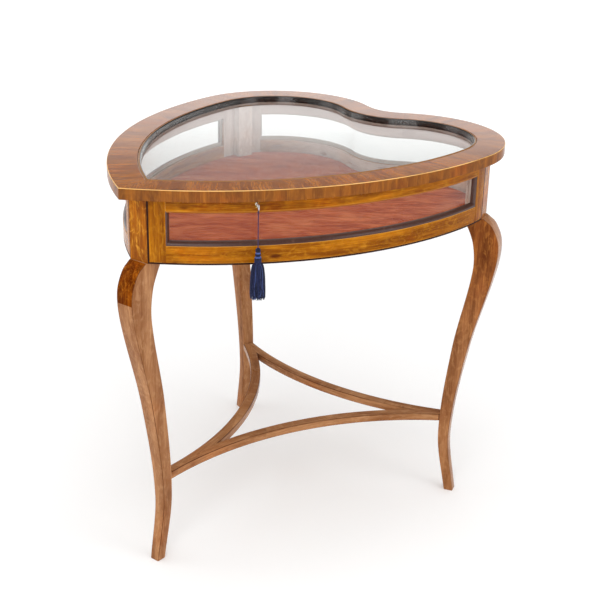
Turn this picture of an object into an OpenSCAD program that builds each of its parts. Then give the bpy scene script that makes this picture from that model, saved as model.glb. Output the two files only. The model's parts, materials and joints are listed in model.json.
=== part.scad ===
// Heart-shaped display table: a glazed case with a hinged glazed lid on three cabriole legs.
// Millimetres, +Z up, the point of the heart towards -Y, origin on the floor below the lid's middle.

/* [Heart outline] */
// Height from the floor to the top of the lid's bead
height = 750; // [700:1:790]
// Width of the lid across both lobes
heart_w = 700; // [660:1:740]
// Radius of each lobe of the lid's edge
lobe_r = 198; // [186:1:210]
// Radius of each long side of the lid's edge, from lobe to point
side_r = 694; // [640:1:760]
// Radius of the hollow between the lobes
cleft_r = 80; // [60:1:100]

/* [Lid] */
// Thickness of the lid's wooden frame
lid_t = 20.5; // [18:0.5:24]
// Width of the lid's wooden frame
lid_rail_w = 54; // [46:1:60]
// Width of the black bead round the lid's glass
lid_bead_w = 6; // [4:0.5:8]
// How far the black bead stands above the frame
lid_bead_proud = 0.5; // [0.2:0.1:1]
// Height of the lower bead, which the glass lies on
lid_seat_h = 7; // [5:0.5:8]
// Thickness of the lid's glass
lid_glass_t = 4; // [3:0.5:5]
// How far the lid's edge stands out past the case
lid_overhang = 25; // [22:0.5:28]
// Gap between the closed lid and the case
lid_gap = 0.3; // [0.2:0.05:0.4]

/* [Case] */
// Height of the case below the lid
case_h = 118; // [110:1:130]
// Thickness of rails and stiles
rail_t = 18; // [16:0.5:20]
// Height of the top rails
top_rail_h = 24; // [23:0.5:28]
// Height of the bottom rails
bottom_rail_h = 33; // [30:0.5:40]
// Width of each stile
stile_w = 32; // [26:1:38]
// Thickness of the bent side panes
pane_t = 3; // [2:0.5:4]
// Clearance round a pane or board in its groove
pane_clear = 0.3; // [0.2:0.05:0.4]
// Depth of the groove that a pane's edge stands in
groove_depth = 3; // [2.5:0.5:4]
// Depth from a rail's face to the pane
pane_set = 10; // [9:0.5:11]
// Width of the glazing bead at the pane, on the top and the sides
bead_w = 4.5; // [3:0.5:6]
// Height of the bottom glazing bead at the pane
sill_w = 8; // [6:0.5:9]
// Width of the glazing bead at the rail's face
bead_lip = 0.8; // [0.6:0.1:1.5]
// Width of the dark line between stile and post
line_w = 3.5; // [1.5:0.5:5]
// Height of the dark line along the bottom of the case
base_line_h = 3; // [2:0.5:4]
// Depth of the dark inlaid lines
line_depth = 2; // [1.5:0.5:3]
// Thickness of the baseboard
board_t = 5; // [4:0.5:6]
// Width of the rebate that the baseboard lies in
board_rebate = 6; // [4:0.5:7]
// Thickness of the velvet lining
velvet_t = 2.5; // [1.5:0.5:4]

/* [Posts and legs] */
// Width of each post across its face
post_w = 41; // [38:1:46]
// Depth of each post
post_depth = 36; // [32:1:40]
// Width of each post at its inner face
post_inner_w = 33; // [28:1:36]
// Direction of the side posts round the lobe's centre, from +X
post_a = 18; // [14:1:22]
// How far a leg's head stands out past its post
leg_ledge = 3; // [1:0.5:5]
// Width of a leg's head
head_w = 39.5; // [36:0.5:40]
// Width of the knee
knee_w = 38; // [34:1:40]
// Depth of the knee, outside to inside
knee_t = 50.5; // [44:0.5:56]
// Width of the calf
calf_w = 30; // [26:1:34]
// Depth of the calf
calf_t = 31.5; // [26:0.5:36]
// Width of the ankle
ankle_w = 24; // [20:1:28]
// Depth of the ankle
ankle_t = 22; // [19:0.5:26]
// Width of the toe
toe_w = 20; // [17:0.5:24]
// Depth of the toe
toe_t = 19; // [16:0.5:24]
// How far the knee stands out past the post
knee_out = 36.5; // [30:0.5:42]
// How far the thigh stands out past the post
thigh_out = 32; // [26:0.5:38]
// Depth of the thigh
thigh_t = 42; // [36:0.5:46]
// How far the calf stands in behind the post's face
calf_in = 8; // [2:0.5:14]
// How far the ankle stands in behind the post's face
ankle_in = 33.5; // [26:0.5:40]
// How far the toe stands in behind the post's face
toe_in = 16; // [8:0.5:24]
// Height of the ankle above the floor
ankle_z = 130; // [110:1:150]
// Height of the calf above the floor
calf_z = 330; // [300:1:360]
// Drop from the case to the thigh
thigh_drop = 111; // [95:1:125]
// Drop from the case to the fullest part of the knee
knee_drop = 51; // [42:1:60]
// Drop from the case to the knee's shoulder
shoulder_drop = 14; // [10:1:20]

/* [Stretchers] */
// Height of the stretchers' top face above the floor
stretcher_z = 177; // [160:1:200]
// Width of a stretcher, seen from above
stretcher_w = 21; // [16:1:26]
// Thickness of a stretcher
stretcher_t = 15; // [12:0.5:18]
// Bow of the two side stretchers towards the middle
side_bow = 81; // [60:1:100]
// Bow of the back stretcher towards the middle
back_bow = 59; // [40:1:80]
// Width of the tenon that a pair of stretchers shares
tenon_w = 10; // [8:0.5:12]
// Height of that tenon
tenon_h = 9; // [7:0.5:10]
// Length of that tenon
tenon_len = 9; // [6:0.5:11]

/* [Hinges] */
// Length of each butt hinge
hinge_len = 50; // [40:1:60]
// Width of each leaf, from the pin's centre
leaf_w = 18; // [15:0.5:19]
// Thickness of each leaf
leaf_t = 1.5; // [1.2:0.1:2]
// Radius of the knuckles
knuckle_r = 3; // [2.8:0.1:3.5]
// Radius of the hinge pin
pin_r = 1.25; // [1:0.05:1.5]
// Radial clearance of the hinge pin in its knuckles
pin_clear = 0.05; // [0.03:0.01:0.09]
// Gap between neighbouring knuckles and round the knuckles
knuckle_gap = 0.4; // [0.3:0.05:0.6]
// Radius of a screw's shank
screw_r = 1.4; // [1.2:0.1:1.6]
// Radius of a screw's countersunk head
screw_head_r = 2.8; // [2.4:0.1:3]
// Length of a screw
screw_len = 11; // [8:0.5:12]

/* [Lock and key] */
// Direction of the lock round the centre of the right side's arc, from +X
lock_a = -41.2; // [-46:0.2:-30]
// Drop from the lid to the key's axis
key_drop = 10.5; // [10:0.1:11]
// Radius of the key's shank
shank_r = 2; // [1.8:0.1:2.2]
// Radius that the key's bit reaches
bit_r = 5.2; // [4.8:0.1:5.4]
// Thickness of the key's bit
bit_t = 1.6; // [1.2:0.1:2]
// Distance from the case's face to the middle of the key's bow
bow_out = 17; // [16:0.5:20]
// Radius of the middle of the bow's ring
bow_r = 5.8; // [5.2:0.1:6.2]
// Radius of the bow's wire
bow_wire_r = 1.2; // [1:0.1:1.4]
// Travel of the bolt for a quarter turn of the key
bolt_throw = 5; // [4.5:0.1:5.2]
// Running clearance inside the lock
lock_clear = 0.2; // [0.15:0.05:0.25]

/* [Tassel] */
// Radius of the tassel's cord
cord_r = 0.9; // [0.7:0.1:1.2]
// Length of the free cord between knot and tassel
cord_len = 60; // [40:1:80]
// Radius of the knot below the key's bow
knot_r = 2; // [1.6:0.1:2.4]
// Radius of the tassel's head
tassel_head_r = 6.4; // [5:0.1:7]
// Height of the tassel's head
tassel_head_h = 25; // [18:1:30]
// Radius of the skirt at its lower end
skirt_r = 14; // [10:0.5:15]
// Length of the skirt
skirt_h = 68; // [50:1:80]

/* [Hidden] */
$fn = 144;

// Cuts run past the faces they leave by this much
over = 1;
// Hairline between two lengths of a strip that are butted end to end
hairline = 0.04;

// Heights
lid_top = height - lid_bead_proud;
lid_z = lid_top - lid_t;
case_top = lid_z - lid_gap;
case_z = lid_z - case_h;
opening_top = lid_z - top_rail_h;
opening_z = case_z + bottom_rail_h;
line_z = case_z + base_line_h;

// Depths in from the lid's edge
face_d = lid_overhang;
groove_d = face_d + pane_set;
groove_w = pane_t + 2*pane_clear;
inner_d = face_d + rail_t;
board_d = inner_d - board_rebate;
board_inset = 0.6;
board_z = case_z + board_inset + board_t;
lobe_face_r = lobe_r - face_d;

// Centres of the outline's arcs: lobe, long side and hollow, all tangent where they meet
lobe_x = heart_w/2 - lobe_r;
side_x = heart_w/2 - side_r;
tip_drop = sqrt(side_r*side_r - side_x*side_x);
join_y = (tip_drop - lobe_r)/2;
cleft_rise = sqrt(pow(lobe_r + cleft_r, 2) - lobe_x*lobe_x);
cleft_y = join_y + cleft_rise;
crest_a = atan2(cleft_rise, -lobe_x);

// Turn that a length along an arc of a radius takes
function turn(len, r) = len/r*180/PI;
function polar(r, a) = [r*cos(a), r*sin(a)];
function arc_pts(c, r, a0, a1, n) = [for (i = [0:n]) c + polar(r, a0 + (a1 - a0)*i/n)];
side_hairline = turn(hairline, side_r);
lobe_hairline = turn(hairline, lobe_face_r);
function flip(pts) = [for (i = [len(pts)-1:-1:0]) [-pts[i][0], pts[i][1]]];

// Direction, round the long side's centre, of a point of the side at depth d and half-width x
function side_a(x, d) = -acos((x - side_x)/(side_r - d));

// Posts: the side frames end on planes that point at the arcs' centres
tip_corner_a = side_a(post_w/2, face_d);
tip_face_y = join_y + (side_r - face_d)*sin(tip_corner_a);
tip_kappa = 90 + tip_corner_a;
lobe_kappa = asin(post_w/2/lobe_face_r);
post_face_r = lobe_face_r*cos(lobe_kappa);
side_end_a = post_a - lobe_kappa;
back_start_a = post_a + lobe_kappa;

// Where the glazed stretch of each side starts and ends
front_glass_a = tip_corner_a + turn(stile_w, side_r - face_d);
back_glass_a = back_start_a + turn(stile_w, lobe_face_r);

// Sweep a flat profile, drawn as (depth in from the lid's edge, height), along one arc
module side_run(a0, a1) {
  translate([side_x, join_y, 0])
    rotate([0, 0, a0])
      rotate_extrude(angle = a1 - a0)
        translate([side_r, 0])
          mirror([1, 0])
            children();
}

module lobe_run(a0, a1) {
  translate([lobe_x, join_y, 0])
    rotate([0, 0, a0])
      rotate_extrude(angle = a1 - a0)
        translate([lobe_r, 0])
          mirror([1, 0])
            children();
}

module cleft_run(a0, a1) {
  translate([0, cleft_y, 0])
    rotate([0, 0, a0])
      rotate_extrude(angle = a1 - a0)
        translate([cleft_r, 0])
          children();
}

module middle_run() {
  cleft_run(-crest_a, crest_a - 180) children();
}

// Both halves of something drawn on the right
module both_sides() {
  children();
  mirror([1, 0, 0]) children();
}

// One long side, mitred where it meets the other at the point of the heart
module mitred_side_run(a1) {
  intersection() {
    side_run(side_a(0, 0) - over, a1) children();
    translate([0, -height, 0]) cube([height, 2*height, 2*height]);
  }
}

// Strips round the back of the case and round the whole heart, in lengths with a hairline between
module back_run(a0) {
  both_sides() lobe_run(a0, crest_a - lobe_hairline) children();
  middle_run() children();
}

module heart_ring() {
  both_sides() {
    mitred_side_run(-side_hairline) children();
    lobe_run(0, crest_a - lobe_hairline) children();
  }
  middle_run() children();
}

// Outline of the heart at depth d in from the lid's edge
function heart_half(d) = concat(
  arc_pts([side_x, join_y], side_r - d, side_a(0, d), 0, 32),
  arc_pts([lobe_x, join_y], lobe_r - d, 6, crest_a, 26),
  arc_pts([0, cleft_y], cleft_r + d, crest_a - 184, -90, 8)
);
function inner_pts(pts) = [for (i = [1:len(pts)-2]) pts[i]];
function heart_pts(d) = concat(heart_half(d), flip(inner_pts(heart_half(d))));

// Profile of a block between two depths and two heights
module block(d0, d1, z0, z1) {
  translate([d0, z0]) square([d1 - d0, z1 - z0]);
}

// Place children in a post's frame: x outward from its face, y along the face
module at_front_post() {
  translate([0, tip_face_y, 0]) rotate([0, 0, -90]) children();
}

module at_right_post() {
  translate([lobe_x, join_y, 0]) rotate([0, 0, post_a]) translate([post_face_r, 0, 0]) children();
}

// Footprint of a post in its own frame, grown by a clearance g
function post_pts(kappa, g) = [
  [0, -post_w/2 - g],
  [0, post_w/2 + g],
  [-rail_t*cos(kappa), post_w/2 - rail_t*sin(kappa) + g],
  [-post_depth - g, post_inner_w/2 + g],
  [-post_depth - g, -post_inner_w/2 - g],
  [-rail_t*cos(kappa), -post_w/2 + rail_t*sin(kappa) - g]
];

// The same footprint run on outward past the face, for notches in the floor of the case
function notch_pts(kappa, g) = concat(
  [[0, -post_w/2 - g], [post_depth, -post_w/2 - g], [post_depth, post_w/2 + g]],
  [for (i = [1:5]) post_pts(kappa, g)[i]]
);

// Smooth curve through stations given as [height, value]
function span(st, z, i = 0) = i >= len(st) - 2 || z <= st[i+1][0] ? i : span(st, z, i + 1);
function rise(st, i, j) = (st[j][1] - st[i][1])/(st[j][0] - st[i][0]);
function slope(st, i) = rise(st, max(i - 1, 0), min(i + 1, len(st) - 1));
function blend(st, z, i) =
  let (h = st[i+1][0] - st[i][0], t = (z - st[i][0])/h)
  (2*t*t*t - 3*t*t + 1)*st[i][1] + (t*t*t - 2*t*t + t)*h*slope(st, i)
  + (3*t*t - 2*t*t*t)*st[i+1][1] + (t*t*t - t*t)*h*slope(st, i + 1);
function curve(st, z) = blend(st, z, span(st, z));

// Stations of the leg: how far its outside and inside stand out past the post's face, and its width
thigh_z = case_z - thigh_drop;
knee_z = case_z - knee_drop;
outside = [
  [0, -toe_in], [ankle_z, -ankle_in], [calf_z, -calf_in], [thigh_z, thigh_out],
  [knee_z, knee_out], [case_z - shoulder_drop, knee_out*0.58], [case_z, leg_ledge]
];
inside = [
  [0, -toe_in - toe_t], [ankle_z, -ankle_in - ankle_t], [calf_z, -calf_in - calf_t],
  [thigh_z, thigh_out - thigh_t], [knee_z, knee_out - knee_t], [case_z, -post_depth]
];
width = [[0, toe_w], [ankle_z, ankle_w], [calf_z, calf_w], [knee_z, knee_w], [case_z, head_w]];
leg_steps = 36;
leg_zs = [for (i = [0:leg_steps]) case_z*i/leg_steps];

// Stretchers: arcs between the legs' centres, mitred on planes that halve the angle between them
tenon_z = stretcher_z - stretcher_t/2;
seat_u = curve(inside, tenon_z);
hub_u = (curve(outside, tenon_z) + seat_u)/2;
tip_hub = [0, tip_face_y - hub_u];
right_hub = [lobe_x, join_y] + polar(post_face_r + hub_u, post_a);
left_hub = [-right_hub[0], right_hub[1]];
function bow_radius(chord, bow) = (chord*chord/4 + bow*bow)/(2*bow);
side_chord = norm(right_hub - tip_hub);
side_half_a = asin(side_chord/2/bow_radius(side_chord, side_bow));
back_half_a = asin(right_hub[0]/bow_radius(2*right_hub[0], back_bow));
side_lean = atan2(right_hub[0], right_hub[1] - tip_hub[1]);
mitre_a = ((270 - side_lean - side_half_a) + (180 + back_half_a))/2;
mitre_meet = [0, right_hub[1] - right_hub[0]*tan(mitre_a - 180)];
mitre_far = right_hub + (right_hub - mitre_meet);

// Hinges: the pin's axis runs along X just behind the lobes
hinge_y = join_y + lobe_face_r + knuckle_r + knuckle_gap;
hinge_z = case_top + lid_gap/2;
knuckles = 5;
knuckle_len = (hinge_len - (knuckles - 1)*knuckle_gap)/knuckles;
hinge_screw_x = hinge_len/2 - 9;
hinge_screw_y = hinge_y - leaf_w + 7.5;

// Lock: local x points out of the case from the lid's edge, y runs along the side towards the lobe
key_z = lid_z - key_drop;
lock_len = 48;
lock_flange = 7;
lock_plate_t = 1.5;
lock_wall = 1.2;
lock_front_d = face_d + 8;
lock_z = lid_z - 20;
lock_screw_y = lock_len/2 + lock_flange/2;
strip_t = 1.8;
strip_d1 = inner_d - lock_wall - lock_clear;
strip_d0 = strip_d1 - strip_t;
bolt_d0 = lock_front_d + lock_wall + lock_clear*4;
bolt_z0 = lock_z + lock_wall + lock_clear;
bolt_z1 = key_z - shank_r - 1;
notch_floor = key_z - bit_r - lock_clear - 0.1;
eye_y = 12;
eye_t = 2;
eye_d = 4.2;
finger = 2.2;
eye_hole = finger + 3*lock_clear;
link_len = 48;
link_screw_y = link_len/2 - 4;
keyhole_r = shank_r + 0.3;

module at_lock() {
  translate([side_x, join_y, 0]) rotate([0, 0, lock_a]) translate([side_r, 0, 0]) children();
}

// Block of the lock, given by depths, places along the side and heights
module lock_block(d0, d1, y0, y1, z0, z1) {
  translate([-d1, y0, z0]) cube([d1 - d0, y1 - y0, z1 - z0]);
}

// Tassel: hangs plumb below the bow
bow_d = face_d - bow_out;
loop_r = cord_r - 0.1;
loop_reach = bow_wire_r + 0.3 + loop_r;
bow_low_z = key_z - bow_r;
knot_z = bow_low_z - loop_reach - loop_r - knot_r*0.6;
cord_gap = 0.25;
cord_top_z = knot_z - knot_r - cord_gap;
tassel_z = cord_top_z - cord_len;

// Legs
module leg_blank() {
  intersection() {
    rotate([90, 0, 0])
      linear_extrude(height = 2*post_w, center = true)
        polygon(concat(
          [for (z = leg_zs) [curve(outside, z), z]],
          [for (i = [leg_steps:-1:0]) [curve(inside, leg_zs[i]), leg_zs[i]]]
        ));
    rotate([90, 0, 90])
      linear_extrude(height = 4*post_w, center = true)
        polygon(concat(
          [for (z = leg_zs) [curve(width, z)/2, z]],
          [for (i = [leg_steps:-1:0]) [-curve(width, leg_zs[i])/2, leg_zs[i]]]
        ));
  }
}

module leg(kappa) {
  difference() {
    leg_blank();
    translate([seat_u - over, -tenon_w/2, tenon_z - tenon_h/2]) cube([tenon_len + over, tenon_w, tenon_h]);
    translate([seat_u - post_w, -post_w, stretcher_z - stretcher_t]) cube([post_w, 2*post_w, stretcher_t]);
  }
  translate([0, 0, case_z])
    linear_extrude(height = case_top - case_z)
      polygon(post_pts(kappa, 0));
}

module front_leg() {
  color("#8a4f22") at_front_post() leg(tip_kappa);
}

module right_leg() {
  color("#8a4f22") at_right_post() leg(lobe_kappa);
}

module left_leg() {
  mirror([1, 0, 0]) right_leg();
}

// Rails: the top rail is grooved below for the pane, the bottom rail above
module top_rail_profile() {
  difference() {
    block(face_d, inner_d, opening_top, case_top);
    block(groove_d, groove_d + groove_w, opening_top - over, opening_top + groove_depth);
  }
}

module bottom_rail_profile() {
  difference() {
    block(face_d, inner_d, case_z, opening_z);
    block(groove_d, groove_d + groove_w, opening_z - groove_depth, opening_z + over);
    block(board_d, inner_d + over, case_z - over, board_z);
    block(face_d - over, face_d + line_depth, case_z - over, line_z);
  }
}

module keyhole_shape(grow) {
  circle(r = keyhole_r + grow);
  translate([-bit_t/2 - 0.3 - grow, -bit_r - 0.4 - grow])
    square([bit_t + 0.6 + 2*grow, bit_r + 0.4 + grow]);
}

// The keyhole's shape run along the key's axis between two depths
module keyhole_run(d0, d1, grow) {
  translate([-d1, 0, key_z])
    rotate([90, 0, 90])
      linear_extrude(height = d1 - d0)
        keyhole_shape(grow);
}

escutcheon_rim = 1.2;
escutcheon_t = 1.5;

module right_top_rail() {
  color("#b8721f")
    difference() {
      side_run(front_glass_a, 0) top_rail_profile();
      at_lock() {
        lock_block(lock_front_d, inner_d + over, -lock_len/2, lock_len/2, lock_z, lid_z + over);
        lock_block(lock_front_d, inner_d + over, -lock_len/2 - lock_flange, lock_len/2 + lock_flange,
          case_top - lock_plate_t, lid_z + over);
        keyhole_run(face_d - over, lock_front_d + over, 0);
        keyhole_run(face_d - over, face_d + escutcheon_t, escutcheon_rim);
        lock_screws(0);
      }
    }
}

module left_top_rail() {
  color("#b8721f") mirror([1, 0, 0]) side_run(front_glass_a, 0) top_rail_profile();
}

module back_right_top_rail() {
  color("#b8721f")
    difference() {
      lobe_run(back_glass_a, crest_a) top_rail_profile();
      translate([lobe_x, 0, 0]) {
        translate([-hinge_len/2 - 0.1, hinge_y - leaf_w - 0.1, case_top - leaf_t])
          cube([hinge_len + 0.2, leaf_w + 0.1, leaf_t + over]);
        fixed_screws();
      }
    }
}

module back_left_top_rail() {
  mirror([1, 0, 0]) back_right_top_rail();
}

module back_middle_top_rail() {
  color("#b8721f") middle_run() top_rail_profile();
}

module right_bottom_rail() {
  color("#b8721f") side_run(front_glass_a, 0) bottom_rail_profile();
}

module left_bottom_rail() {
  mirror([1, 0, 0]) right_bottom_rail();
}

module back_right_bottom_rail() {
  color("#b8721f") lobe_run(back_glass_a, crest_a) bottom_rail_profile();
}

module back_left_bottom_rail() {
  mirror([1, 0, 0]) back_right_bottom_rail();
}

module back_middle_bottom_rail() {
  color("#b8721f") middle_run() bottom_rail_profile();
}

// Stiles: full height, grooved for the pane, rebated for the baseboard and cut for the dark lines
module stile_profile() {
  difference() {
    block(face_d, inner_d, case_z, case_top);
    block(board_d, inner_d + over, case_z - over, board_z);
    block(face_d - over, face_d + line_depth, case_z - over, line_z);
  }
}

module pane_slot() {
  block(groove_d, groove_d + groove_w, opening_z - groove_depth, opening_top + groove_depth);
}

module line_profile() {
  block(face_d, face_d + line_depth, line_z, case_top);
}

module line_cut() {
  block(face_d - over, face_d + line_depth, line_z - over, case_top + over);
}

side_slot_turn = turn(groove_depth, side_r - groove_d);
lobe_slot_turn = turn(groove_depth, lobe_r - groove_d);
side_line_turn = turn(line_w, side_r - face_d);
lobe_line_turn = turn(line_w, lobe_face_r);

module right_front_stile() {
  color("#b8721f")
    difference() {
      side_run(tip_corner_a, front_glass_a) stile_profile();
      side_run(front_glass_a - side_slot_turn, front_glass_a + 1) pane_slot();
      side_run(tip_corner_a - 1, tip_corner_a + side_line_turn) line_cut();
    }
}

module left_front_stile() {
  mirror([1, 0, 0]) right_front_stile();
}

module right_rear_stile() {
  color("#b8721f")
    difference() {
      lobe_run(0, side_end_a) stile_profile();
      lobe_run(-1, lobe_slot_turn) pane_slot();
      lobe_run(side_end_a - lobe_line_turn, side_end_a + 1) line_cut();
    }
}

module left_rear_stile() {
  mirror([1, 0, 0]) right_rear_stile();
}

module back_right_stile() {
  color("#b8721f")
    difference() {
      lobe_run(back_start_a, back_glass_a) stile_profile();
      lobe_run(back_glass_a - lobe_slot_turn, back_glass_a + 1) pane_slot();
      lobe_run(back_start_a - 1, back_start_a + lobe_line_turn) line_cut();
    }
}

module back_left_stile() {
  mirror([1, 0, 0]) back_right_stile();
}

// Bent panes, standing in the grooves; the back one is a single sheet bent along three arcs
pane_z = opening_z - groove_depth;
module pane_profile() {
  block(groove_d + pane_clear, groove_d + pane_clear + pane_t,
    pane_z, opening_top + groove_depth - 2*pane_clear);
}

side_pane_turn = turn(groove_depth - pane_clear, side_r - groove_d);
lobe_pane_turn = turn(groove_depth - pane_clear, lobe_r - groove_d);

module right_pane() {
  color("#dfeaea", 0.3)
    side_run(front_glass_a - side_pane_turn, side_pane_turn) pane_profile();
}

module left_pane() {
  mirror([1, 0, 0]) right_pane();
}

function back_pts(d) = concat(
  arc_pts([lobe_x, join_y], lobe_r - d, back_glass_a - lobe_pane_turn, crest_a, 32),
  arc_pts([0, cleft_y], cleft_r + d, crest_a - 185, -90, 9)
);
function back_half(d) = inner_pts(concat([[0, 0]], back_pts(d), [[0, 0]]));
function back_curve(d) = concat(back_half(d), flip(inner_pts(concat([[0, 0]], back_half(d)))));
function reverse(pts) = [for (i = [len(pts)-1:-1:0]) pts[i]];

module back_pane() {
  d0 = groove_d + pane_clear;
  color("#dfeaea", 0.3)
    translate([0, 0, pane_z])
      linear_extrude(height = opening_top + groove_depth - 2*pane_clear - pane_z)
        polygon(concat(back_curve(d0), reverse(back_curve(d0 + pane_t))));
}

// Glazing beads: an ovolo from the rail's face back to the pane, mitred at the corners
bead_steps = 5;
bead_depth = pane_set - 0.6;
bead_d = groove_d - bead_depth;
function bead_pts(w) = concat(
  [for (i = [0:bead_steps]) [
    bead_d + bead_depth*(1 - cos(90*i/bead_steps)),
    bead_lip + (w - bead_lip)*sin(90*i/bead_steps)
  ]],
  [[groove_d, 0], [bead_d, 0]]
);

module low_bead_profile() {
  translate([0, opening_z]) polygon(bead_pts(sill_w));
}

module high_bead_profile() {
  translate([0, opening_top]) mirror([0, 1]) polygon(bead_pts(bead_w));
}

// Upright bead on the plane at angle a of an arc of radius r, growing along the arc when dir is 1
module upright_bead(r, a, dir) {
  rotate([0, 0, a])
    translate([0, 0, opening_z])
      linear_extrude(height = opening_top - opening_z)
        polygon([for (p = bead_pts(bead_w)) [r - p[0], dir*p[1]]]);
}

module right_bead() {
  color("#15110f") {
    side_run(front_glass_a, 0) low_bead_profile();
    side_run(front_glass_a, 0) high_bead_profile();
    translate([side_x, join_y, 0]) {
      upright_bead(side_r, front_glass_a, 1);
      upright_bead(side_r, 0, -1);
    }
  }
}

module left_bead() {
  mirror([1, 0, 0]) right_bead();
}

module back_bead() {
  color("#15110f") {
    back_run(back_glass_a) low_bead_profile();
    back_run(back_glass_a) high_bead_profile();
    both_sides() translate([lobe_x, join_y, 0]) upright_bead(lobe_r, back_glass_a, 1);
  }
}

// Dark inlaid lines: uprights beside the posts, and a run along the bottom of each side
module corner_lines() {
  color("#15110f")
    both_sides() {
      side_run(tip_corner_a, tip_corner_a + side_line_turn) line_profile();
      lobe_run(side_end_a - lobe_line_turn, side_end_a) line_profile();
      lobe_run(back_start_a, back_start_a + lobe_line_turn) line_profile();
    }
}

module base_line_profile() {
  block(face_d, face_d + line_depth, case_z, line_z);
}

module base_lines() {
  color("#15110f") {
    both_sides() {
      side_run(tip_corner_a, -side_hairline) base_line_profile();
      lobe_run(0, side_end_a) base_line_profile();
    }
    back_run(back_start_a) base_line_profile();
  }
}

// Baseboard in the rebate of the bottom rails, notched round the posts, and its velvet lining
module floor_shape(d) {
  difference() {
    polygon(heart_pts(d));
    at_front_post() polygon(notch_pts(tip_kappa, pane_clear));
    both_sides() at_right_post() polygon(notch_pts(lobe_kappa, pane_clear));
  }
}

module baseboard() {
  color("#9c7a4f")
    translate([0, 0, board_z - board_t])
      linear_extrude(height = board_t)
        floor_shape(board_d + pane_clear);
}

module velvet_lining() {
  color("#c4655c")
    translate([0, 0, board_z])
      linear_extrude(height = velvet_t)
        floor_shape(inner_d + pane_clear);
}

// Stretcher blank between two points, bowed to the left of the way from p to q
module bowed_bar(p, q, bow) {
  chord = norm(q - p);
  r = bow_radius(chord, bow);
  way = atan2(q[1] - p[1], q[0] - p[0]);
  half_a = asin(chord/2/r);
  centre = (p + q)/2 + polar(r - bow, way - 90);
  translate([centre[0], centre[1], stretcher_z - stretcher_t])
    rotate([0, 0, way + 90 - half_a])
      rotate_extrude(angle = 2*half_a)
        translate([r - stretcher_w/2, 0])
          square([stretcher_w, stretcher_t]);
}

// Everything on the leg's side of the seat, in a post's frame
module leg_side() {
  translate([seat_u, -2*post_w, 0]) cube([4*post_w, 4*post_w, 2*stretcher_z]);
}

module tenon() {
  translate([seat_u, -tenon_w/2, tenon_z - tenon_h/2]) cube([tenon_len, tenon_w, tenon_h]);
}

module right_stretcher() {
  color("#8a4f22")
    intersection() {
      union() {
        difference() {
          bowed_bar(tip_hub, right_hub, side_bow);
          at_front_post() leg_side();
          at_right_post() leg_side();
        }
        at_front_post() tenon();
        at_right_post() tenon();
      }
      linear_extrude(height = 2*stretcher_z)
        polygon([mitre_meet, [0, -height], [height, -height], mitre_far]);
    }
}

module left_stretcher() {
  mirror([1, 0, 0]) right_stretcher();
}

module back_stretcher() {
  color("#8a4f22")
    intersection() {
      union() {
        difference() {
          bowed_bar(right_hub, left_hub, back_bow);
          at_right_post() leg_side();
          mirror([1, 0, 0]) at_right_post() leg_side();
        }
        at_right_post() tenon();
        mirror([1, 0, 0]) at_right_post() tenon();
      }
      linear_extrude(height = 2*stretcher_z)
        polygon([mitre_meet, mitre_far, [0, height], [-mitre_far[0], mitre_far[1]]]);
    }
}

// Hinges, in a frame on the middle of each hinge's axis over x
module both_hinges() {
  both_sides() translate([lobe_x, 0, 0]) children();
}

module barrel(r, x0, x1) {
  translate([x0, hinge_y, hinge_z]) rotate([0, 90, 0]) cylinder(r = r, h = x1 - x0, $fn = 48);
}

// A leaf: its plate stops short of the other leaf's knuckles; which knuckles it has is given by first
module leaf(first, z0) {
  pitch = knuckle_len + knuckle_gap;
  plate_end = hinge_y - knuckle_r - knuckle_gap;
  difference() {
    union() {
      translate([-hinge_len/2, hinge_y - leaf_w, z0]) cube([hinge_len, plate_end - hinge_y + leaf_w, leaf_t]);
      for (i = [first:2:knuckles - 1]) {
        x0 = -hinge_len/2 + i*pitch;
        barrel(knuckle_r, x0, x0 + knuckle_len);
        translate([x0, plate_end - over, z0]) cube([knuckle_len, hinge_y - plate_end + over, leaf_t]);
      }
    }
    barrel(pin_r + pin_clear, -hinge_len, hinge_len);
  }
}

// Countersunk screw with its head's face at the origin, running down
module screw() {
  head_h = screw_head_r - screw_r;
  translate([0, 0, -screw_len]) cylinder(r = screw_r, h = screw_len - head_h/2, $fn = 24);
  translate([0, 0, -head_h]) cylinder(r1 = screw_r, r2 = screw_head_r, h = head_h, $fn = 24);
}

module fixed_screws() {
  for (x = [-hinge_screw_x, 0, hinge_screw_x])
    translate([x, hinge_screw_y, case_top]) screw();
}

module moving_screws() {
  for (x = [-hinge_screw_x, 0, hinge_screw_x])
    translate([x, hinge_screw_y, lid_z]) mirror([0, 0, 1]) screw();
}

module fixed_leaf() {
  color("#b08d3e")
    difference() {
      leaf(0, case_top - leaf_t);
      fixed_screws();
    }
}

module moving_leaf() {
  color("#b08d3e")
    difference() {
      leaf(1, lid_z);
      moving_screws();
    }
}

module right_fixed_leaf() {
  translate([lobe_x, 0, 0]) fixed_leaf();
}

module left_fixed_leaf() {
  mirror([1, 0, 0]) right_fixed_leaf();
}

module right_moving_leaf() {
  translate([lobe_x, 0, 0]) moving_leaf();
}

module left_moving_leaf() {
  mirror([1, 0, 0]) right_moving_leaf();
}

module right_hinge_pin() {
  color("#8f6f2c") translate([lobe_x, 0, 0]) barrel(pin_r, -hinge_len/2, hinge_len/2);
}

module left_hinge_pin() {
  mirror([1, 0, 0]) right_hinge_pin();
}

// Lock screws at the ends of the lock's top plate; link screws in the link plate
module lock_screws(lift) {
  for (s = [-1, 1])
    translate([-(lock_front_d + inner_d)/2, s*lock_screw_y, case_top + lift]) screw();
}

module link_screws() {
  for (s = [-1, 1])
    translate([-(lock_front_d + inner_d)/2, s*link_screw_y, lid_z]) mirror([0, 0, 1]) screw();
}

module case_screws() {
  color("#a5823a") {
    both_hinges() fixed_screws();
    at_lock() lock_screws(0);
  }
}

module lid_screws() {
  color("#a5823a") {
    both_hinges() moving_screws();
    at_lock() link_screws();
  }
}

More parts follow.
